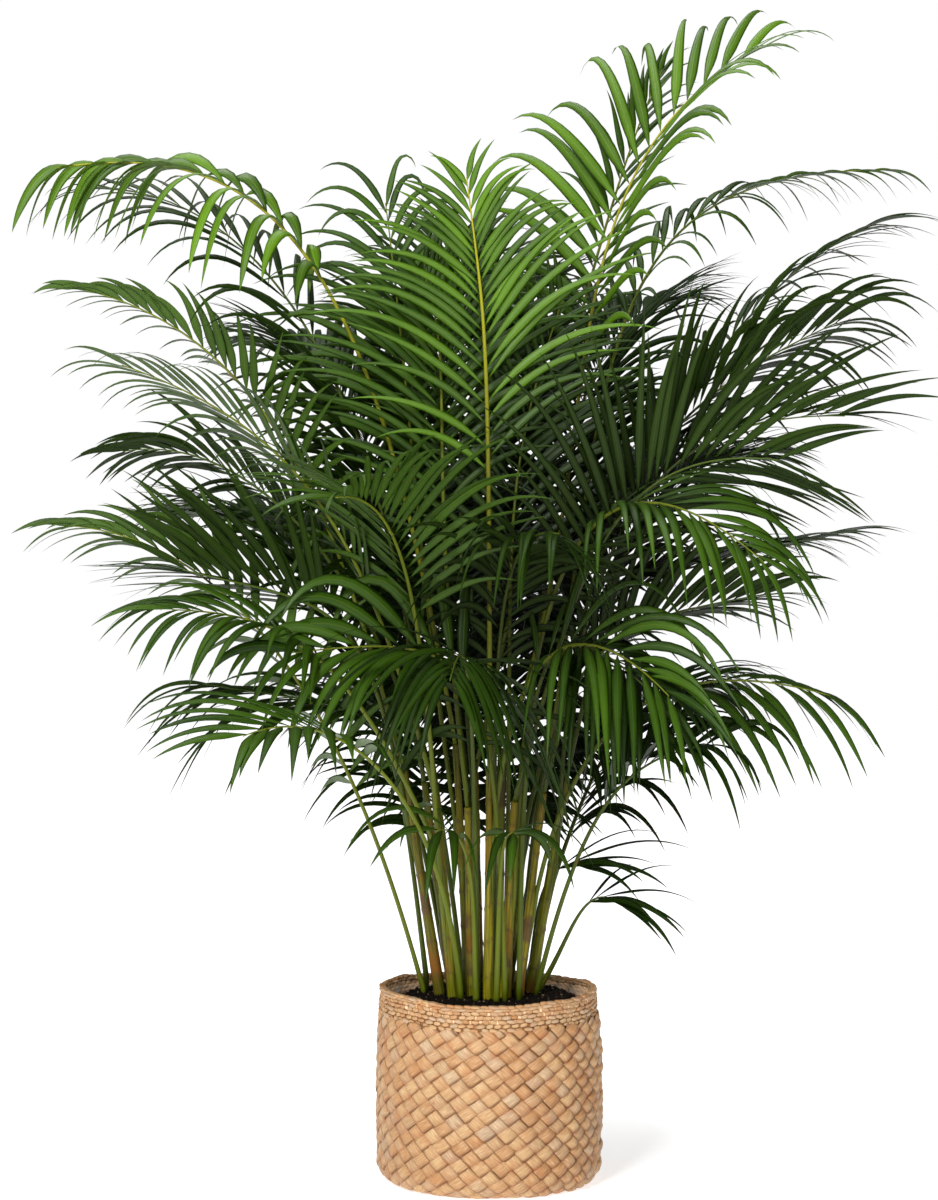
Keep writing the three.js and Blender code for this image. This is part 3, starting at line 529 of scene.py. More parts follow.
def onCurve(curve, t):
    t = np.asarray(t, float)[..., None]
    a, b, c, d = curve
    return (1 - t) ** 3 * a + 3 * (1 - t) ** 2 * t * b + 3 * (1 - t) * t ** 2 * c + t ** 3 * d


def alongCurve(curve, t):
    t = np.asarray(t, float)[..., None]
    a, b, c, d = curve
    return unit((1 - t) ** 2 * (b - a) + 2 * (1 - t) * t * (c - b) + t ** 2 * (d - c))


def layRibs():
    # every rib in turn, bowed a little further until it passes the stems and the ribs before it
    tries, step, wanted = 15, 14, 1.5
    shares, ts = np.linspace(0, 1, 50), np.linspace(0, 1, 110)
    radii = palm["stalkRadius"] + (palm["ribTipRadius"] - palm["stalkRadius"]) * ts
    others = [(i, stemPoint(s, shares), stemRadius(s, shares)) for i, s in enumerate(stems)]
    curves = []
    for frond in fronds:
        best = None
        for k in range(tries):
            curve = ribCurve(frond, step * ((k + 1) // 2) * (1 if k % 2 else -1))
            points = onCurve(curve, ts)
            clear = min(
                (np.linalg.norm(points[:, None] - p[None], axis=2) - radii[:, None] - r[None]).min()
                for i, p, r in others if i != frond.get("stem"))
            if best is None or clear > best[0]:
                best = (clear, curve, points)
            if clear > wanted:
                break
        others.append((None, best[2], radii))
        curves.append(best[1])
    return curves


def ribFrame(frond, curve, t, roll=True):
    along = alongCurve(curve, t)
    run = unit(np.array([curve[3][1] - curve[0][1], curve[0][0] - curve[3][0], 0]))
    side = np.cross(along, [0, 0, 1]) + run * 0.15
    side = unit(side - along * np.sum(side * along, axis=-1, keepdims=True))
    face = np.cross(side, along)
    turn = math.radians(ask(frond, "roll")) if roll else 0
    return (onCurve(curve, t), along, side * math.cos(turn) + face * math.sin(turn),
            face * math.cos(turn) - side * math.sin(turn))


leaflet = {
    "rows": 14, "columns": 4,
    "thick": 0.7,
    "fold": 0.2,        # how far the blade's halves hang from its midrib, as a share of its half width
    "twist": 22,        # most turn of the blade towards its tip, degrees
    "waver": 0.9,       # slow side to side wander of the blade, mm
}


# Where the leaves stand in each other's shade
crown = {
    "middle": (100, 60, 735),
    "deep": 150,                     # how far back it goes on behind its middle
    "tall": 1.25,                    # its height over its width
    "dense": 110, "open": 390,       # fully dark up to the first, fully lit from the second
    "leafDark": "#040902", "stalkDark": "#0c1003",
}


def crownShade(points):
    # 1 deep in the crown, 0 at its outside and on what stands in front of it or well behind it
    aside, back, above = (points[..., i] - crown["middle"][i] for i in range(3))
    away = back - np.clip(back, 0, crown["deep"])
    apart = np.sqrt(aside ** 2 + away ** 2 + (above / crown["tall"]) ** 2)
    return smoothStep((crown["open"] - apart) / (crown["open"] - crown["dense"]))


def growLeaflets(frond, curve, seed):
    # where every leaflet of a frond runs: points, blade directions and half widths, row by row
    pairs, wild = frond["pairs"], ask(frond, "wild")
    k = np.repeat(np.arange(pairs), 2)
    hand = np.tile([-1, 1], pairs)

    def jitter(a, b):
        return repeatable(seed + k * a + hand * b) - 0.5

    v = np.clip((k + 0.5 + 0.15 * hand + 0.3 * jitter(1.7, 1)) / pairs, 0, 1)
    t = frond["bare"] + (1 - frond["bare"]) * v
    point, along, side, face = ribFrame(frond, curve, t)
    shape = np.minimum(1, np.minimum(0.66 + 1.5 * v, ask(frond, "end") + (1 - v) ** 0.9))
    length = frond["leaf"] * shape * (1 + 0.2 * jitter(7.3, 1))
    spread = ask(frond, "open") * (1 - v) ** 0.8 + ask(frond, "shut") * v + 9 * wild * jitter(3.1, 5)
    spread = np.radians(spread)[:, None]
    lift = np.radians(ask(frond, "vee") + 10 * wild * jitter(9.1, 3))[:, None]
    heading = (along * np.cos(spread) + side * hand[:, None] * np.cos(lift) * np.sin(spread)
               + face * np.sin(lift) * np.sin(spread))
    droop = (ask(frond, "droop") * (1 + 0.6 * wild * jitter(5.7, 2)))[:, None]
    blade = unit(along - heading * np.sum(along * heading, axis=1, keepdims=True))
    rows = leaflet["rows"]
    points, blades, ways = [point], [blade], [heading]
    for i in range(rows):
        q = (i + 0.5) / rows
        way = unit(heading - np.array([0, 0, 1]) * droop * q ** ask(frond, "late"))
        blade = unit(blade - way * np.sum(blade * way, axis=1, keepdims=True))
        points.append(points[-1] + way * (length / rows)[:, None])
        blades.append(blade)
        ways.append(way)
    points, blades, ways = (np.stack(a, axis=1) for a in (points, blades, ways))
    q = np.linspace(0, 1, rows + 1)
    outline = (0.2 + 0.8 * smoothStep(q / 0.3)) * np.maximum(0, 1 - q ** ask(frond, "taper"))
    half = 0.5 * frond["wide"] * (0.6 + 0.4 * shape)[:, None] * outline[None]
    blades = blades * -hand[:, None, None]        # so that the upper face looks up on both sides of the rib
    upper = np.cross(blades, ways)
    turn = np.radians(2 * leaflet["twist"] * jitter(4.3, 7))[:, None] * q[None] ** 1.3
    turned = blades * np.cos(turn)[..., None] + upper * np.sin(turn)[..., None]
    upper = np.cross(turned, ways)
    bend = leaflet["waver"] * np.sin(q[None] * 7 + 40 * jitter(2.9, 3)[:, None]) * q[None]
    return points + turned * bend[..., None], turned, upper, half, k, hand


def leafletMesh(frond, curve, seed, template):
    points, blades, upper, half, k, hand = growLeaflets(frond, curve, seed)
    place = template[0]
    rows = np.rint(place[:, 1] * leaflet["rows"]).astype(int)
    x, z, q = place[:, 0], place[:, 2], place[:, 1]
    width = half[:, rows]
    drop = leaflet["fold"] * (1.15 - 0.9 * q)[None] * width * np.abs(x)[None] ** 1.25
    thick = leaflet["thick"] * np.minimum(1, 0.15 + width / 5)
    offset = z[None] * thick / 2 - drop
    shown = points[:, rows] + blades[:, rows] * (width * x[None])[..., None]
    shown = shown + upper[:, rows] * offset[..., None]
    own = repeatable(seed * 1.3 + k * 3.7 + hand * 1.9)
    uv = np.stack(np.broadcast_arrays(0.5 + 0.5 * x[None], q[None] + own[:, None] * 7), axis=2)
    below = (z < 0)[None] * 1.0
    tint = np.stack(np.broadcast_arrays(own[:, None], q[None], below, crownShade(shown)), axis=2)
    return template, shown, uv, tint


stalk = {
    "rings": 50, "sides": 10, "groove": 0.22,
    "tip": 0.8, "flare": 1.3, "flareLength": 30,
    "joinLength": 60,    # how fast a stalk on top of a stem thins from the stem's size
    "sheath": 85,        # how far a side stalk runs down its stem, thinning to nothing
    "sheathTip": 0.7, "sheathSink": 0.8,
}


def stalkMesh(frond, curve, own, template):
    place = template[0]
    length = np.linalg.norm(curve[3] - curve[0])
    aside = "at" in frond
    below = stalk["sheath"] / length if aside else 0
    t = place[:, 1] ** 1.1 * (1 + below) - below
    up = np.maximum(t, 0)
    point, along, side, face = ribFrame(frond, curve, up, roll=False)
    radius = palm["stalkRadius"] + (stalk["tip"] - palm["stalkRadius"]) * up ** 1.5
    if "root" in frond:
        radius = radius + stalk["flare"] * np.exp(-up * length / stalk["flareLength"])
    elif not aside:
        top = float(stemRadius(stems[frond["stem"]], 1))
        radius = radius + (top - palm["stalkRadius"]) * np.exp(-up * length / stalk["joinLength"])
    else:
        stem = stems[frond["stem"]]
        sunk = np.clip(1 + t / below, 0, 1)
        thin = stalk["sheathTip"]
        radius = np.where(t < 0, thin + (radius - thin) * smoothStep(sunk), radius)
        share = frond["at"] + np.minimum(t, 0) * length / stem["length"]
        reach = (stemRadius(stem, share) + radius / 2 - stalk["sheathSink"] * (1 - sunk))[:, None]
        clasping = stemPoint(stem, share) + headingVector(frond["heading"], 90) * reach
        point = np.where((t < 0)[:, None], clasping, point)
    x, y = place[:, 0], -place[:, 2]
    flat = 1 - stalk["groove"] * smoothStep((y - 0.3) / 0.7)      # it is hollowed along its upper face
    shown = point + side * (radius * x)[:, None] + face * (radius * y * flat)[:, None]
    around = np.arctan2(y, x) / (2 * math.pi)
    uv = np.stack([around * 2, t * length / 100], axis=1)
    tint = np.stack([np.full_like(t, own), up, (y > 0.2) * 1.0, crownShade(shown)], axis=1)
    return template, shown[None], uv[None], tint[None]


cane = {
    "rings": 72, "sides": 16, "ridges": 0.22,
    "ringEvery": 46, "ringSwell": 0.8, "ringWidth": 0.045, "ringShift": 17,
    "sheath": 1.5, "sheathLength": 95,      # how thick a stalk's sheath is, and how far down the cane it runs
}


def caneMesh(number, template):
    stem = stems[number]
    place = template[0]
    share = place[:, 1]
    along = headingVector(stem["heading"], stem["lean"])
    side = unit(np.array([1.0, 0, 0]) - along * along[0])
    across = np.cross(along, side)
    angle = np.arctan2(-place[:, 2], place[:, 0])
    rise = share * stem["length"]
    ringPlace = (rise + cane["ringShift"] * number) / cane["ringEvery"] + 0.1 * np.sin(angle + number)
    ring = np.exp(-((ringPlace - np.floor(ringPlace) - 0.5) / cane["ringWidth"]) ** 2)
    radius = stemRadius(stem, share) + cane["ringSwell"] * ring
    for frond in fronds:                     # each stalk's sheath clasps the stem below where it leaves
        if frond.get("stem") == number:
            at = frond.get("at", 1.0)
            below = (at - share) * stem["length"]
            clasp = smoothStep(1 - below / cane["sheathLength"]) * (below > -4)
            facing = 0.5 + 0.5 * np.cos(angle - math.radians(frond["heading"]))
            radius = radius + cane["sheath"] * clasp * facing ** 0.7
    ridge = np.sin(angle * 9 + number * 2 + 0.6 * np.sin(rise / 31)) * cane["ridges"]
    radius = (radius + ridge) * np.hypot(place[:, 0], place[:, 2])
    shown = (stemPoint(stem, share) + side * (radius * np.cos(angle))[:, None]
             + across * (radius * np.sin(angle))[:, None])
    shown[share < 1e-4, 2] = palm["soilTop"] - 3                    # its foot goes a little into the soil
    uv = np.stack([angle / math.pi, rise / 100], axis=1)
    own = np.full_like(share, repeatable(number * 3.3 + 1))
    tint = np.stack([own, share, ring, crownShade(shown)], axis=1)
    return template, shown[None], uv[None], tint[None]


# The three leaf tones are partly the fronds' own green and partly painted light and shade: fronds that stand
# in the light get the lighter tones, shaded fronds the darker
leafLooks = {
    "bright": dict(dark="#2e4d06", light="#5f8a10", under="#657f30", vein="#8c9a34", glow="#6c8c12",
                   rough=0.36, shade=0.4, shine=0.3),
    "green": dict(dark="#1c3604", light="#42640d", under="#40591c", vein="#647a28", glow="#48690f",
                  rough=0.33, shade=0.85, shine=0.22),
    "deep": dict(dark="#122404", light="#2b440a", under="#26350f", vein="#4a5c20", glow="#324a0c",
                 rough=0.3, shade=0.95, shine=0.1),
}


def leafMaterial(tone):
    look = leafLooks[tone]
    material, tree, shader, where, mapped, data = newMaterial("leaf_" + tone)
    cloud = patches(tree, where, 9, 0.35, 0.7)
    own = maths(tree, "MULTIPLY_ADD", data[0], 0.65, maths(tree, "MULTIPLY", cloud, 0.35), clamp=True)
    colour = mixColour(tree, own, hexColour(look["dark"]), hexColour(look["light"]))
    colour = overlay(tree, data[3], look["shade"], colour, crown["leafDark"])
    colour = overlay(tree, data[2], 0.55, colour, look["under"])
    vein = useEffect(tree, veins, {"Map": mapped})
    colour = overlay(tree, vein["Midrib"], 0.28, colour, look["vein"])
    paint(tree, shader, colour, roughBy(tree, cloud, 0.14, look["rough"]), look["shine"])
    relief(tree, shader, vein["Height"], 0.3, 0.0005)
    glow = addNode(tree, "ShaderNodeBsdfTranslucent", {"Color": hexColour(look["glow"])})
    blend = addNode(tree, "ShaderNodeMixShader", {0: 0.16, 1: shader.outputs[0], 2: glow.outputs[0]})
    tree.links.new(blend.outputs[0], tree.nodes["Material Output"].inputs["Surface"])
    return material


# The rib tones follow the leaf tones: partly the ribs' own colour and partly painted light and shade
ribLooks = {
    "bright": dict(foot="#7d800c", tip="#bdb42a", streak="#4a560a"),
    "green": dict(foot="#697410", tip="#7b8620", streak="#303e08"),
    "deep": dict(foot="#56630e", tip="#4d6418", streak="#243208"),
}


def ribMaterial(tone):
    look = ribLooks[tone]
    material, tree, shader, where, mapped, data = newMaterial("rib_" + tone)
    streak = useEffect(tree, fibres, {"Vector": mapped, "Stretch": (9, 2, 1)})
    colour = mixColour(tree, data[1], hexColour(look["foot"]), hexColour(look["tip"]))
    colour = overlay(tree, streak["Shade"], 0.75, colour, look["streak"])
    colour = overlay(tree, patches(tree, where, 90, 0.66, 0.72), 0.5, colour, "#6a4a22")       # brown flecks
    colour = overlay(tree, data[3], 0.6, colour, crown["stalkDark"])
    paint(tree, shader, colour, maths(tree, "MULTIPLY_ADD", streak["Shade"], 0.2, 0.3), 0.2)
    relief(tree, shader, streak["Height"], 0.3, 0.0008)
    return material


caneLook = {
    "tones": [(0, "#5c6c0a"), (0.3, "#8c860e"), (0.55, "#977a10"), (0.8, "#6f780c"), (1, "#5f4712")],
    "stripe": "#2f3d0c", "pale": "#c9b43c", "rust": "#7e5216", "husk": "#5a3f28", "papery": "#b3aa96",
    "ring": "#4b3a22",
}


def caneMaterial():
    look = caneLook
    material, tree, shader, where, mapped, data = newMaterial("cane")
    streak = useEffect(tree, fibres, {"Vector": mapped, "Stretch": (7, 1.1, 1)})
    colour = ramp(tree, data[0], look["tones"])
    colour = overlay(tree, between(tree, streak["Shade"], 0.4, 0.66), 0.85, colour, look["stripe"])
    threads = patches(tree, drawOut(tree, mapped, (24, 0.7, 1)), 1, 0.6, 0.68)
    colour = overlay(tree, threads, 0.7, colour, look["pale"])
    rust = patches(tree, where, 11, 0.5, 0.62)
    lower = maths(tree, "SUBTRACT", 1.15, data[1], clamp=True)
    colour = overlay(tree, rust, lower, colour, look["rust"])
    colour = overlay(tree, patches(tree, where, 17, 0.6, 0.66), 0.8, colour, look["husk"])
    colour = mixColour(tree, patches(tree, mapped, 2.2, 0.68, 0.72), colour, hexColour(look["papery"]))
    colour = overlay(tree, data[2], 0.6, colour, look["ring"])
    colour = overlay(tree, data[3], 0.75, colour, crown["stalkDark"])
    paint(tree, shader, colour, roughBy(tree, rust, 0.2, 0.42), 0.2)
    relief(tree, shader, streak["Height"], 0.5, 0.0012)
    return material


pieceLimit = 190000       # most triangles in one joined piece of leaflets


def buildPalm():
    curves = layRibs()
    bladeShape = bladeTemplate(leaflet["rows"], leaflet["columns"], pointed=True)
    stalkShape = rodTemplate(stalk["rings"], stalk["sides"])
    for tone in ("bright", "green", "deep"):
        mine = [(n, f) for n, f in enumerate(fronds) if f["tone"] == tone]
        perPiece = pieceLimit // (len(bladeShape[2]) * 2)
        groups, room = [[]], perPiece
        for n, frond in mine:
            if frond["pairs"] * 2 > room:
                groups.append([])
                room = perPiece
            groups[-1].append((n, frond))
            room -= frond["pairs"] * 2
        leafLook = leafMaterial(tone)
        for number, group in enumerate(groups):
            nodes = ["frond_" + f["name"] for n, f in group]
            batches = [leafletMesh(f, curves[n], n * 31, bladeShape) for n, f in group]
            piece = buildPiece("leaflets_%s_%d" % (tone, number + 1), batches)
            dress(piece, leafLook, nodes)
        batches = [stalkMesh(f, curves[n], repeatable(n * 5.1), stalkShape) for n, f in mine]
        piece = buildPiece("ribs_" + tone, batches)
        dress(piece, ribMaterial(tone), ["frond_" + f["name"] for n, f in mine])
    caneShape = rodTemplate(cane["rings"], cane["sides"])
    piece = buildPiece("canes", [caneMesh(i, caneShape) for i in range(len(stems))])
    dress(piece, caneMaterial(), ["stem_%02d" % (i + 1) for i in range(len(stems))])
    print("palm built")


# The basket: diagonal plait over a shell, a twined rim, a plaited underside

basket = {
    "height": 253, "footRadius": 122, "shoulderRadius": 147.5, "shoulderHeight": 26,
    "barrel": 2.8, "drawIn": 3.5, "wall": 7, "plaitTop": 222,
    "rising": 30, "falling": 36,                       # strips that climb to the right and to the left
    "risingRun": 1.53, "fallingRun": 1.0,              # how far each runs round for its height
    "lift": 1.0, "puff": 1.2, "tilt": 1.8, "stripThick": 0.9, "fill": 1.2, "inset": 1.9,
    "stepsPerCell": 6, "columns": 4,
    "sag": (-4.0, 2.5, 5.0, 1.6),    # how far the rim is over its height in front, behind, left and right
    "calm": 16,                      # over how much height the plait goes flat below the rim
}


def rimLift(theta, z):
    # the rim isn't level: it sags in front and stands higher at the back and the left
    front, back, left, right = basket["sag"]
    rise = np.where(np.sin(theta) < 0, -front, back) * np.sin(theta) * np.abs(np.sin(theta))
    rise = rise + left * np.clip(-np.cos(theta), 0, 1) ** 2 + right * np.clip(np.cos(theta), 0, 1) ** 2
    rise = rise + 0.7 * np.sin(theta * 5 + 1) + 0.5 * np.sin(theta * 9 + 4)
    return rise * smoothStep((np.asarray(z, float) - 150) / 85)


def basketRadius(z):
    z = np.asarray(z, float)
    drop = np.clip((basket["shoulderHeight"] - z) / basket["shoulderHeight"], 0, 1)
    lower = basket["footRadius"] + (basket["shoulderRadius"] - basket["footRadius"]) * np.sqrt(1 - drop ** 2)
    share = np.clip((z - basket["shoulderHeight"]) / (basket["height"] - basket["shoulderHeight"]), 0, 1)
    upper = basket["shoulderRadius"] + basket["barrel"] * np.sin(math.pi * share) - basket["drawIn"] * share
    return np.where(z < basket["shoulderHeight"], lower, upper)


def wallProfile():
    # the outer face from the foot up to the rim, by the length along it: radius, height, way it faces
    turn = np.linspace(-math.pi / 2, 0, 40)
    reach = basket["shoulderRadius"] - basket["footRadius"]
    radii = basket["footRadius"] + reach * np.cos(turn)
    heights = basket["shoulderHeight"] * (1 + np.sin(turn))
    above = np.linspace(basket["shoulderHeight"], basket["plaitTop"], 60)[1:]
    radii = np.concatenate([[basket["footRadius"] - 6], radii, basketRadius(above)])
    heights = np.concatenate([[0], heights, above])
    length = np.concatenate([[0], np.cumsum(np.hypot(np.diff(radii), np.diff(heights)))])
    dr, dz = np.gradient(radii, length), np.gradient(heights, length)
    return length, radii, heights, dz, -dr


def cellWave(x):
    c = np.cos(math.pi * x)
    return np.sign(c) * np.abs(c) ** 0.5


def plaitFamily(rising, template, profile):
    own, other = (basket["rising"], basket["falling"]) if rising else (basket["falling"], basket["rising"])
    length, radii, heights, outR, outZ = profile
    a = basket["risingRun"] / basket["shoulderRadius"]
    b = basket["fallingRun"] / basket["shoulderRadius"]
    place = template[0]
    x, y, z = place[:, 0][None], place[:, 1][None], place[:, 2][None]
    strip = np.arange(own)[:, None]
    across = strip + 0.5 * basket["fill"] * x * (1 + 0.05 * np.sin(y * 23 + strip * 1.7))
    across = across + 0.05 * np.sin(y * 9 + strip * 2.3)
    reach = length[-1] * (a + b)
    if rising:
        start = other * strip / own
        along = start + other * reach / (2 * math.pi) * y
        first, second = 2 * math.pi * across / own, 2 * math.pi * along / other
    else:
        start = other * strip / own - other * reach / (2 * math.pi)
        along = start + other * reach / (2 * math.pi) * (1 - y)
        first, second = 2 * math.pi * along / other, 2 * math.pi * across / own
    climb = np.clip((second - first) / (a + b), 0, length[-1])
    theta = (first * b + second * a) / (a + b)
    wave = cellWave(along + strip) * (1 if rising else -1)
    over = np.clip(0.5 + 0.5 * wave, 0, 1)
    cell = np.rint(along)
    bump = repeatable(strip * 7.7 + cell * 3.1 + (50 if rising else 0))
    toRight = smoothStep(np.cos(theta) * 1.3)
    underRim = smoothStep((length[-1] - climb) / basket["calm"])
    swell = basket["puff"] * (0.7 + 2.2 * toRight)              # the cells bulge more at the right
    swell = swell * (0.3 + 0.7 * underRim)                      # and less just under the rim
    height = (-basket["inset"] + basket["lift"] * wave + swell * (1 - x ** 2) * over * (0.5 + bump)
              - 0.25 * x ** 4 + 0.5 * (bump - 0.5) * over + z * basket["stripThick"] / 2)
    phase = (along - cell) * (-1 if rising else 1) * 0.6 + x * (0.5 if rising else 0.2)
    tilt = basket["tilt"] * (0.4 + 0.6 * underRim)              # a cell's lower edge stands proud
    height = height + tilt * phase * over
    spots = np.stack([np.cos(theta) * 147, np.sin(theta) * 147, climb], axis=-1)
    height = height + 0.5 * ripple(spots, 70, 5)
    r = np.interp(climb, length, radii) + height * np.interp(climb, length, outR)
    up = np.interp(climb, length, heights) + height * np.interp(climb, length, outZ)
    up = np.maximum(up + rimLift(theta, up), 0.05)
    shown = np.stack([r * np.cos(theta), r * np.sin(theta), up], axis=-1)
    tone = repeatable(strip * 1.9 + (9 if rising else 0)) * 0.45 + repeatable(strip * 5.3 + cell * 2.3) * 0.55
    grey = repeatable(strip * 3.1 + cell * 7.1 + (5 if rising else 0))
    uv = np.stack(np.broadcast_arrays(0.5 + 0.45 * x + strip, along + strip * 0.37), axis=-1)
    below = x if rising else 2 * (along - cell)                  # towards the cell's lower right
    shade = smoothStep(0.1 + 0.9 * below) * (0.3 + 0.6 * toRight)
    shade = np.clip(shade + 0.5 * np.abs(x) ** 4 + 0.35 * (1 - over), 0, 1)
    tint = np.stack(np.broadcast_arrays(tone, grey, over, shade), axis=-1)
    return template, shown, uv, tint


underside = {"pitch": 18.5, "inset": 3, "overlap": 6, "shortest": 20, "level": 1.9, "lift": 0.8, "thick": 0.8}


def underWeave():
    # a flat plait under the floor, cut to a circle
    pitch, reach = underside["pitch"], basket["footRadius"] - underside["inset"]
    batches = []
    count = int(reach // pitch)
    for family in (0, 1):
        for i in range(-count, count + 1):
            off = abs(i * pitch) + underside["overlap"]
            half = math.sqrt(reach ** 2 - off ** 2) if off < reach else underside["shortest"]
            cells = max(int(2 * half / pitch * 4), 8)
            template = bladeTemplate(cells, 2)
            x, y, z = template[0].T
            run = (2 * y - 1) * half
            wave = cellWave(run / pitch + i + (0 if family == 0 else 1))
            level = underside["level"] - underside["lift"] * wave + z * underside["thick"] / 2 + 0.25 * x ** 2
            side = i * pitch + 0.48 * pitch * x
            flat = (run, side) if family == 0 else (side, run)
            shown = np.stack([flat[0], flat[1], np.maximum(level, 0.05)], axis=1)
            tone = repeatable(i * 4.1 + family * 20.0) * np.ones_like(x)
            # the fourth number is painted shade along the strip's edges
            tint = np.stack([tone, 1 - tone, np.ones_like(x), 0.5 * x ** 4], axis=1)
            uv = np.stack([0.5 + 0.45 * x + i, run / pitch], axis=1)
            batches.append((template, shown[None], uv[None], tint[None]))
    return batches


rim = {
    "grain": (5.7, 2.7, 2.1),        # half length, half height and half depth of a stitch
    "outside": (221.5, 227, 232.5, 237.9, 243.3), "inside": (232, 237.5, 243, 248.2),
    "lip": (247.4, 250.8), "perRow": 78, "slant": 10, "blunt": 0.75,
    "outsideInset": 2.6, "insideProud": 1.8, "lipInset": 4.3,      # from the wall's own faces
}


def rimGrains():
    template = grainTemplate(12, 9)
    place = np.sign(template[0]) * np.abs(template[0]) ** rim["blunt"]
    batches = []
    rows = [(z, "outside") for z in rim["outside"]] + [(z, "inside") for z in rim["inside"]]
    rows += [(z, "lip") for z in rim["lip"]]
    for number, (z, kind) in enumerate(rows):
        n = np.arange(rim["perRow"])
        own = repeatable(n * 3.7 + number * 11.3)
        more = repeatable(n * 1.3 + number * 5.9)
        theta = 2 * math.pi * (n + 0.5 * (number % 2) + 0.3 * (own - 0.5)) / rim["perRow"]
        long, tall, deep = rim["grain"]
        slant = np.radians(rim["slant"] * (1 if number % 2 else -1) * (0.2 + 1.2 * own))
        px = place[None, :, 0] * long * (0.85 + 0.25 * more)[:, None]
        pz = place[None, :, 2] * tall * (0.88 + 0.24 * own)[:, None]
        py = place[None, :, 1] * deep * (0.6 + 0.8 * more)[:, None]
        wall = float(basketRadius(z))
        radius = wall - rim["outsideInset"] + 1.1 * (more - 0.5)
        if kind == "inside":
            radius = wall - basket["wall"] + rim["insideProud"] + 0.8 * (more - 0.5)
        if kind == "lip":                    # long flat stitches bind the rim's edge
            radius = wall - rim["lipInset"] + 0.6 * (more - 0.5)
            px, pz, py, slant = px * 1.35, pz * 0.9, py * 2.0, slant * 0.4
        sx = px * np.cos(slant)[:, None] - pz * np.sin(slant)[:, None]
        sz = px * np.sin(slant)[:, None] + pz * np.cos(slant)[:, None]
        bend = theta[:, None] + sx / wall
        far = np.broadcast_to(radius, n.shape)[:, None] + py
        level = z + sz + 0.7 * (repeatable(n * 2.7 + number) - 0.5)[:, None]
        level = level + rimLift(bend, level)
        shown = np.stack([far * np.cos(bend), far * np.sin(bend), level], axis=-1)
        uv = np.stack(np.broadcast_arrays(0.5 + 0.4 * place[None, :, 2] + n[:, None],
                                          place[None, :, 0] * 0.4 + number), axis=-1)
        # painted shade: darker towards a stitch's edges, where it meets its neighbours
        low = 1.0 - 0.9 * np.clip(np.abs(place[None, :, 2]) + np.abs(place[None, :, 0]) - 0.75, 0, 1)
        # painted light: the inside stitches are marked to take a lighter colour
        inner = 1.0 if kind == "inside" else 0.0
        tint = np.stack(np.broadcast_arrays(own[:, None], more[:, None], low, inner), axis=-1)
        batches.append((template, shown, uv, tint))
    return batches


strawLook = {
    "tones": [(0, "#ab7a48"), (0.2, "#be9364"), (0.42, "#c8a576"), (0.6, "#b98b5b"), (0.8, "#bc9d75"),
              (1, "#b3824f")],
    # edge darkens the fibre streaks and is also the painted shade where a strip tucks under the next
    "grey": "#b9a78f", "pale": "#e3c8a2", "stain": "#b5713a", "edge": "#94541f", "spot": "#8a4a1c",
    # shaded is painted shade, multiplied in towards each cell's lower right, along strip edges and where
    # strips tuck under; inside is painted light, a lighter colour laid on the inside stitches
    "shaded": "#b17741", "inside": "#f6cda4",
}


def strawMaterial(name, over, amount, blend):
    # the last three say how the piece's fourth number paints shade or light on it
    look = strawLook
    material, tree, shader, where, mapped, data = newMaterial(name)
    streak = useEffect(tree, fibres, {"Vector": mapped, "Stretch": (16, 1.3, 1)})
    colour = ramp(tree, data[0], look["tones"])
    colour = overlay(tree, between(tree, data[1], 0.72, 0.95), 0.45, colour, look["grey"])
    dim = mixColour(tree, 0.6, colour, hexColour(look["edge"]), blend="MULTIPLY")
    stripes = maths(tree, "MULTIPLY", between(tree, streak["Shade"], 0.42, 0.66), 0.55)
    colour = mixColour(tree, stripes, colour, dim)
    colour = overlay(tree, between(tree, streak["Shade"], 0.46, 0.3), 0.3, colour, look["pale"])
    colour = overlay(tree, patches(tree, where, 55, 0.52, 0.7), 0.42, colour, look["stain"])
    # painted shade where a strip goes under the next and towards the edges of the rim's stitches
    tuckedShade = maths(tree, "SUBTRACT", 1.0, data[2], clamp=True)          # where a strip goes under the next
    colour = overlay(tree, tuckedShade, 0.3, colour, look["edge"])
    colour = overlay(tree, patches(tree, where, 34, 0.7, 0.75), 0.7, colour, look["spot"])
    colour = overlay(tree, data[3], amount, colour, look[over], blend)
    paint(tree, shader, colour, roughBy(tree, streak["Shade"], 0.25, 0.42))
    relief(tree, shader, streak["Height"], 0.45, 0.0006)
    return material


# The plain shell behind the plait: how far it lies inside the plait's own radius, and its floor
shell = {
    "outside": 4.2, "inside": 6.4, "steps": 96,
    "heights": (14, 26, 60, 110, 160, 185, 210, 230, 249), "outerLow": 7, "innerLow": 9,
    "outerFloor": (112, 3.2), "innerFloor": (108, 5.8),
    # the outer face, seen only in the gaps between strips, is kept darker than the straw as painted shade;
    # the inner face is lighter, painted light on the inner wall
    "dark": "#8a5c36", "light": "#b08055", "paintedLightInside": "#e8bd92",
}


def shellMaterial():
    material, tree, shader, where = newMaterial("basketShell")[:4]
    streak = useEffect(tree, fibres, {"Vector": where, "Stretch": (40, 40, 220)})
    colour = mixColour(tree, streak["Shade"], hexColour(shell["dark"]), hexColour(shell["light"]))
    normal = addNode(tree, "ShaderNodeNewGeometry").outputs["Normal"]
    facing = addNode(tree, "ShaderNodeVectorMath", {0: where, 1: normal}, operation="DOT_PRODUCT")
    # painted light: faces that look inward take the lighter colour
    inwardPaintedLight = between(tree, facing.outputs["Value"], 0.02, -0.02)
    colour = mixColour(tree, inwardPaintedLight, colour, hexColour(shell["paintedLightInside"]))
    paint(tree, shader, colour, 0.8)
    relief(tree, shader, streak["Height"], 0.6, 0.001)
    return material


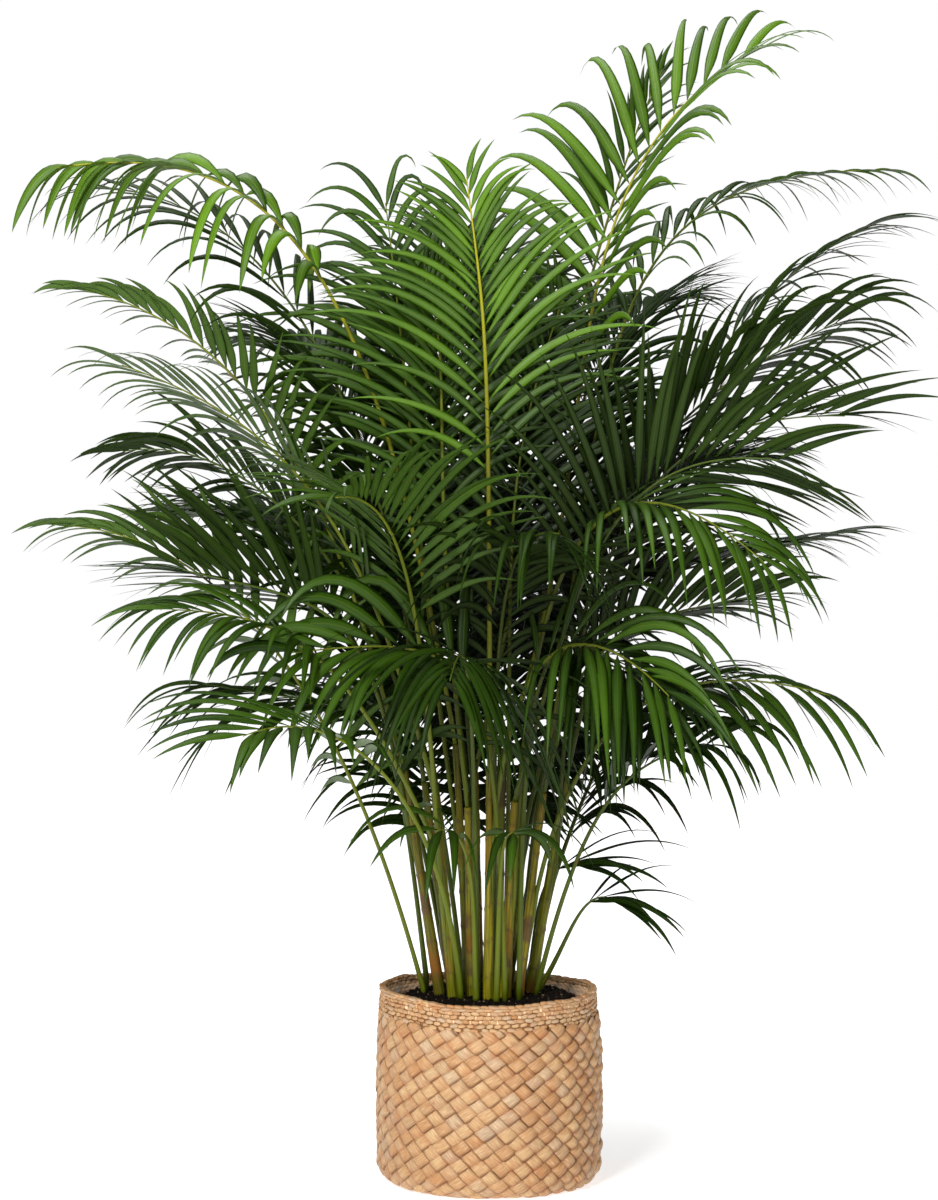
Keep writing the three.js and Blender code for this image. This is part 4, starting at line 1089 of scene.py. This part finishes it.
def buildShell():
    heights, outerFloor, innerFloor = shell["heights"], shell["outerFloor"], shell["innerFloor"]
    outer = [(float(basketRadius(z)) - shell["outside"], z) for z in (shell["outerLow"], *heights)]
    inner = [(float(basketRadius(z)) - shell["inside"], z) for z in (*heights[::-1], shell["innerLow"])]
    profile = [(0.01, outerFloor[1]), outerFloor] + outer + inner + [innerFloor, (0.01, innerFloor[1])]
    piece = spunPiece("basketShell", profile, shell["steps"])
    for v in piece.data.vertices:
        v.co.z += float(rimLift(math.atan2(v.co.y, v.co.x), v.co.z / mm)) * mm
    dress(piece, shellMaterial(), ["basket"])


def buildBasket():
    profile = wallProfile()
    run = basket["risingRun"] + basket["fallingRun"]
    cells = profile[0][-1] * run / basket["shoulderRadius"] / (2 * math.pi)
    risingShape = bladeTemplate(int(cells * basket["falling"] * basket["stepsPerCell"]), basket["columns"])
    fallingShape = bladeTemplate(int(cells * basket["rising"] * basket["stepsPerCell"]), basket["columns"])
    straw = strawMaterial("straw", "shaded", 0.62, "MULTIPLY")
    piece = buildPiece("basketPlait", [plaitFamily(True, risingShape, profile),
                                       plaitFamily(False, fallingShape, profile)])
    dress(piece, straw, ["basket"])
    piece = buildPiece("basketUnderside", underWeave())
    dress(piece, straw, ["basket"])
    piece = buildPiece("basketRim", rimGrains())
    # the twine's inside stitches are painted lighter, painted light on the inner wall
    dress(piece, strawMaterial("strawTwine", "inside", 0.8, "MIX"), ["basket"])
    buildShell()
    print("basket built")


# The soil and the clear film round it

soil = {
    "edge": 231, "top": 245, "flat": 98, "rings": 40, "steps": 120,
    "crumbs": 3400, "biggest": 2.6, "smallest": 0.7,
    "tones": [(0.3, "#060403"), (0.55, "#100a06"), (0.75, "#241811")], "fleck": "#7d6e60",
    "crumbTones": [(0, "#060403"), (0.6, "#130c08"), (0.88, "#241911"), (0.95, "#55432f"), (1, "#8a7760")],
}


def innerRadius(z):
    return basketRadius(z) - basket["wall"] - 1.8


def soilHeight(r, theta):
    slope = float(innerRadius(soil["edge"])) - soil["flat"]
    rise = np.where(r < soil["flat"], 1.0, 1 - (r - soil["flat"]) / slope)
    base = soil["edge"] + (soil["top"] - soil["edge"]) * smoothStep(np.clip(rise, 0, 1) ** 0.9)
    spots = np.stack([r * np.cos(theta), r * np.sin(theta), 0 * r], axis=-1)
    return base + 1.3 * ripple(spots, 42, 11) + 0.7 * ripple(spots, 13, 12)


def soilMaterial():
    material, tree, shader, where = newMaterial("soil")[:4]
    grain = addNode(tree, "ShaderNodeTexNoise", {"Vector": where, "Scale": 260, "Detail": 4}).outputs[0]
    colour = ramp(tree, grain, soil["tones"])
    fleck = patches(tree, where, 420, 0.7, 0.72)
    colour = overlay(tree, fleck, 0.7, colour, soil["fleck"])
    paint(tree, shader, colour, roughBy(tree, fleck, -0.3, 0.85), 0.1)
    relief(tree, shader, grain, 0.9, 0.002)
    return material


def crumbMaterial():
    material, tree, shader, where, mapped, data = newMaterial("crumbs")
    noise = addNode(tree, "ShaderNodeTexNoise", {"Vector": where, "Scale": 700}).outputs
    colour = ramp(tree, data[0], soil["crumbTones"])
    colour = mixColour(tree, 0.35, colour, noise["Color"], blend="MULTIPLY")
    paint(tree, shader, colour, roughBy(tree, noise[0], 0.3, 0.55), 0.1)
    relief(tree, shader, noise[0], 0.6, 0.001)
    return material


def buildSoil():
    edge = float(innerRadius(soil["edge"]))
    radii = np.linspace(0.5, edge, soil["rings"])
    profile = [(0.02, 8)] + [(float(innerRadius(z)) - 0.3, z) for z in (9, 14, 26, 130, 205)]
    piece = spunPiece("soil", profile + [(r, soil["edge"]) for r in radii[::-1]], soil["steps"])
    for v in piece.data.vertices:
        if v.co.z > 0.22:
            r, theta = math.hypot(v.co.x, v.co.y) / mm, math.atan2(v.co.y, v.co.x)
            v.co.z = float(soilHeight(np.array(r), np.array(theta))) * mm
    dress(piece, soilMaterial(), ["soil"])
    rng = np.random.default_rng(17)
    template, count = crumbTemplate(), soil["crumbs"]
    r = np.sqrt(rng.uniform(0, 1, count)) * (edge - 2)
    theta = rng.uniform(0, 2 * math.pi, count)
    size = soil["smallest"] + (soil["biggest"] - soil["smallest"]) * rng.uniform(0, 1, count) ** 3
    centre = np.stack([r * np.cos(theta), r * np.sin(theta), soilHeight(r, theta) + size * 0.2], axis=1)
    shape = template[0][None] * rng.uniform(0.6, 1.25, (count, len(template[0]), 1))
    shape = shape * rng.uniform(0.6, 1.2, (count, 1, 3)) * size[:, None, None]
    shown = centre[:, None] + shape
    own = rng.uniform(0, 1, count)
    tint = np.stack([own, own, own, own], axis=1)[:, None]
    piece = buildPiece("soilCrumbs", [(template, shown, np.zeros((1, 1, 2)), tint)])
    dress(piece, crumbMaterial(), ["soil"])
    print("soil built")


film = {
    "top": 245.5, "bottom": 6.6, "thick": 0.5, "crinkle": 2.2, "steps": 200,
    # clear is the whiter colour of the streaks, partly the film's creases and partly painted glint
    "dull": "#cfc6bb", "clear": "#f4f2ee",
    "levels": (14, 26, 80, 130, 205, 224, 229, 233, 236, 239, 242), "floorRadius": 106,
}


def filmMaterial():
    material, tree, shader, where = newMaterial("clearFilm")[:4]
    # whiter, more solid streaks along the crease noise: partly the film's creases, partly painted glints
    creaseAndGlint = addNode(tree, "ShaderNodeTexNoise", {"Vector": where, "Scale": 70, "Detail": 3}).outputs[0]
    tree.links.new(between(tree, creaseAndGlint, 0.52, 0.66, 0.08, 0.6), shader.inputs["Alpha"])
    colour = mixColour(tree, creaseAndGlint, hexColour(film["dull"]), hexColour(film["clear"]))
    paint(tree, shader, colour, 0.16, 0.8)
    relief(tree, shader, creaseAndGlint, 0.8, 0.004)
    return material


def buildFilm():
    outside = [(float(basketRadius(z)) - basket["wall"] - 0.9, z) for z in (*film["levels"], film["top"])]
    inside = [(r - film["thick"], z) for r, z in outside[::-1]]
    wide, low, high = film["floorRadius"], film["bottom"], film["bottom"] + film["thick"]
    profile = [(0.02, low), (wide, low)] + outside + inside + [(wide - 0.4, high), (0.02, high)]
    piece = spunPiece("film", profile, film["steps"])
    co = np.array([v.co for v in piece.data.vertices]) / mm
    theta = np.arctan2(co[:, 1], co[:, 0])
    loose = smoothStep((co[:, 2] - 226) / 12)
    around = np.stack([np.cos(theta) * 137, np.sin(theta) * 137, co[:, 2] * 1.5], axis=1)
    creases = (0.5 + 0.5 * ripple(around, 24, 21) + 0.5 * ripple(around, 9, 22)).clip(0, 2)
    push = -film["crinkle"] * creases * loose
    co[:, :2] *= (1 + push / np.maximum(np.hypot(co[:, 0], co[:, 1]), 1))[:, None]
    edgeWave = ripple(np.stack([around[:, 0], around[:, 1], 0 * theta], axis=1), 45, 23)
    co[:, 2] += 2.4 * edgeWave * loose - 1.2 * loose
    piece.data.vertices.foreach_set("co", (co * mm).astype(np.float32).ravel())
    piece.data.update()
    dress(piece, filmMaterial(), ["film"])
    print("film built")


# Floor, light and camera

stage = {
    "floor": 12.0, "glow": (0.64, 1.0), "glowReach": (0.35, 1.6),      # the floor glows more further off
    "white": 1.0, "fill": 0.19,                                        # what the camera sees, and what lights
    "camera": (-0.0255, -3.72, 0.791), "lens": 84.06, "shift": -0.015,
    "lights": {
        "keyLight": dict(place=(-1.4, -3.2, 2.5), aim=(0, 0, 0.7), size=(1.1, 1.1), power=142),
        "frontLight": dict(place=(1.2, -3.6, 1.4), aim=(0, 0, 0.5), size=(1.8, 1.8), power=32),
        "topLight": dict(place=(-0.6, 0.5, 3.1), aim=(0, 0, 1.0), size=(2.2, 1.4), power=45),
    },
}


def floorMaterial():
    material, tree, shader, where = newMaterial("paleFloor")[:4]
    cloud = addNode(tree, "ShaderNodeTexNoise", {"Vector": where, "Scale": 3}).outputs[0]
    paint(tree, shader, mixColour(tree, cloud, hexColour("#eeeeee"), hexColour("#f4f4f4")), 0.9, 0.1)
    shader.inputs["Emission Color"].default_value = (1, 1, 1, 1)
    far = addNode(tree, "ShaderNodeVectorMath", {0: where}, operation="LENGTH").outputs["Value"]
    glow = between(tree, far, *stage["glowReach"], *stage["glow"])
    tree.links.new(glow, shader.inputs["Emission Strength"])
    return material


def softLight(name, place, aim, size, power):
    data = bpy.data.lights.new(name, "AREA")
    data.shape = "RECTANGLE"
    data.size, data.size_y = size
    data.energy = power
    light = placeObject(name, data)
    light.location = place
    light.rotation_euler = (Vector(aim) - Vector(place)).to_track_quat("-Z", "Y").to_euler()


def buildStage():
    bm = bmesh.new()
    bmesh.ops.create_grid(bm, x_segments=8, y_segments=8, size=stage["floor"])
    mesh = bpy.data.meshes.new("floor")
    bm.to_mesh(mesh)
    bm.free()
    floor = placeObject("floor", mesh)
    mesh.materials.append(floorMaterial())
    for name, light in stage["lights"].items():
        softLight(name, **light)
    world = bpy.data.worlds.new("studio")
    bpy.context.scene.world = world
    world.use_nodes = True
    tree = world.node_tree
    glow = tree.nodes["Background"]
    glow.inputs["Color"].default_value = (1, 1, 1, 1)
    glow.inputs["Strength"].default_value = stage["fill"]
    backdrop = addNode(tree, "ShaderNodeBackground", {"Color": (1, 1, 1, 1), "Strength": stage["white"]})
    seen = addNode(tree, "ShaderNodeLightPath").outputs["Is Camera Ray"]
    blend = addNode(tree, "ShaderNodeMixShader", {0: seen, 1: glow.outputs[0], 2: backdrop.outputs[0]})
    tree.links.new(blend.outputs[0], tree.nodes["World Output"].inputs["Surface"])
    camera = placeObject("camera", bpy.data.cameras.new("camera"))
    camera.location = stage["camera"]
    camera.rotation_euler = (math.pi / 2, 0, 0)
    camera.data.lens = stage["lens"]
    camera.data.sensor_width = 36
    camera.data.shift_y = stage["shift"]
    bpy.context.scene.camera = camera
    bpy.context.scene.view_settings.view_transform = "Standard"
    print("stage built")


buildStage()
buildPalm()
buildBasket()
buildSoil()
buildFilm()
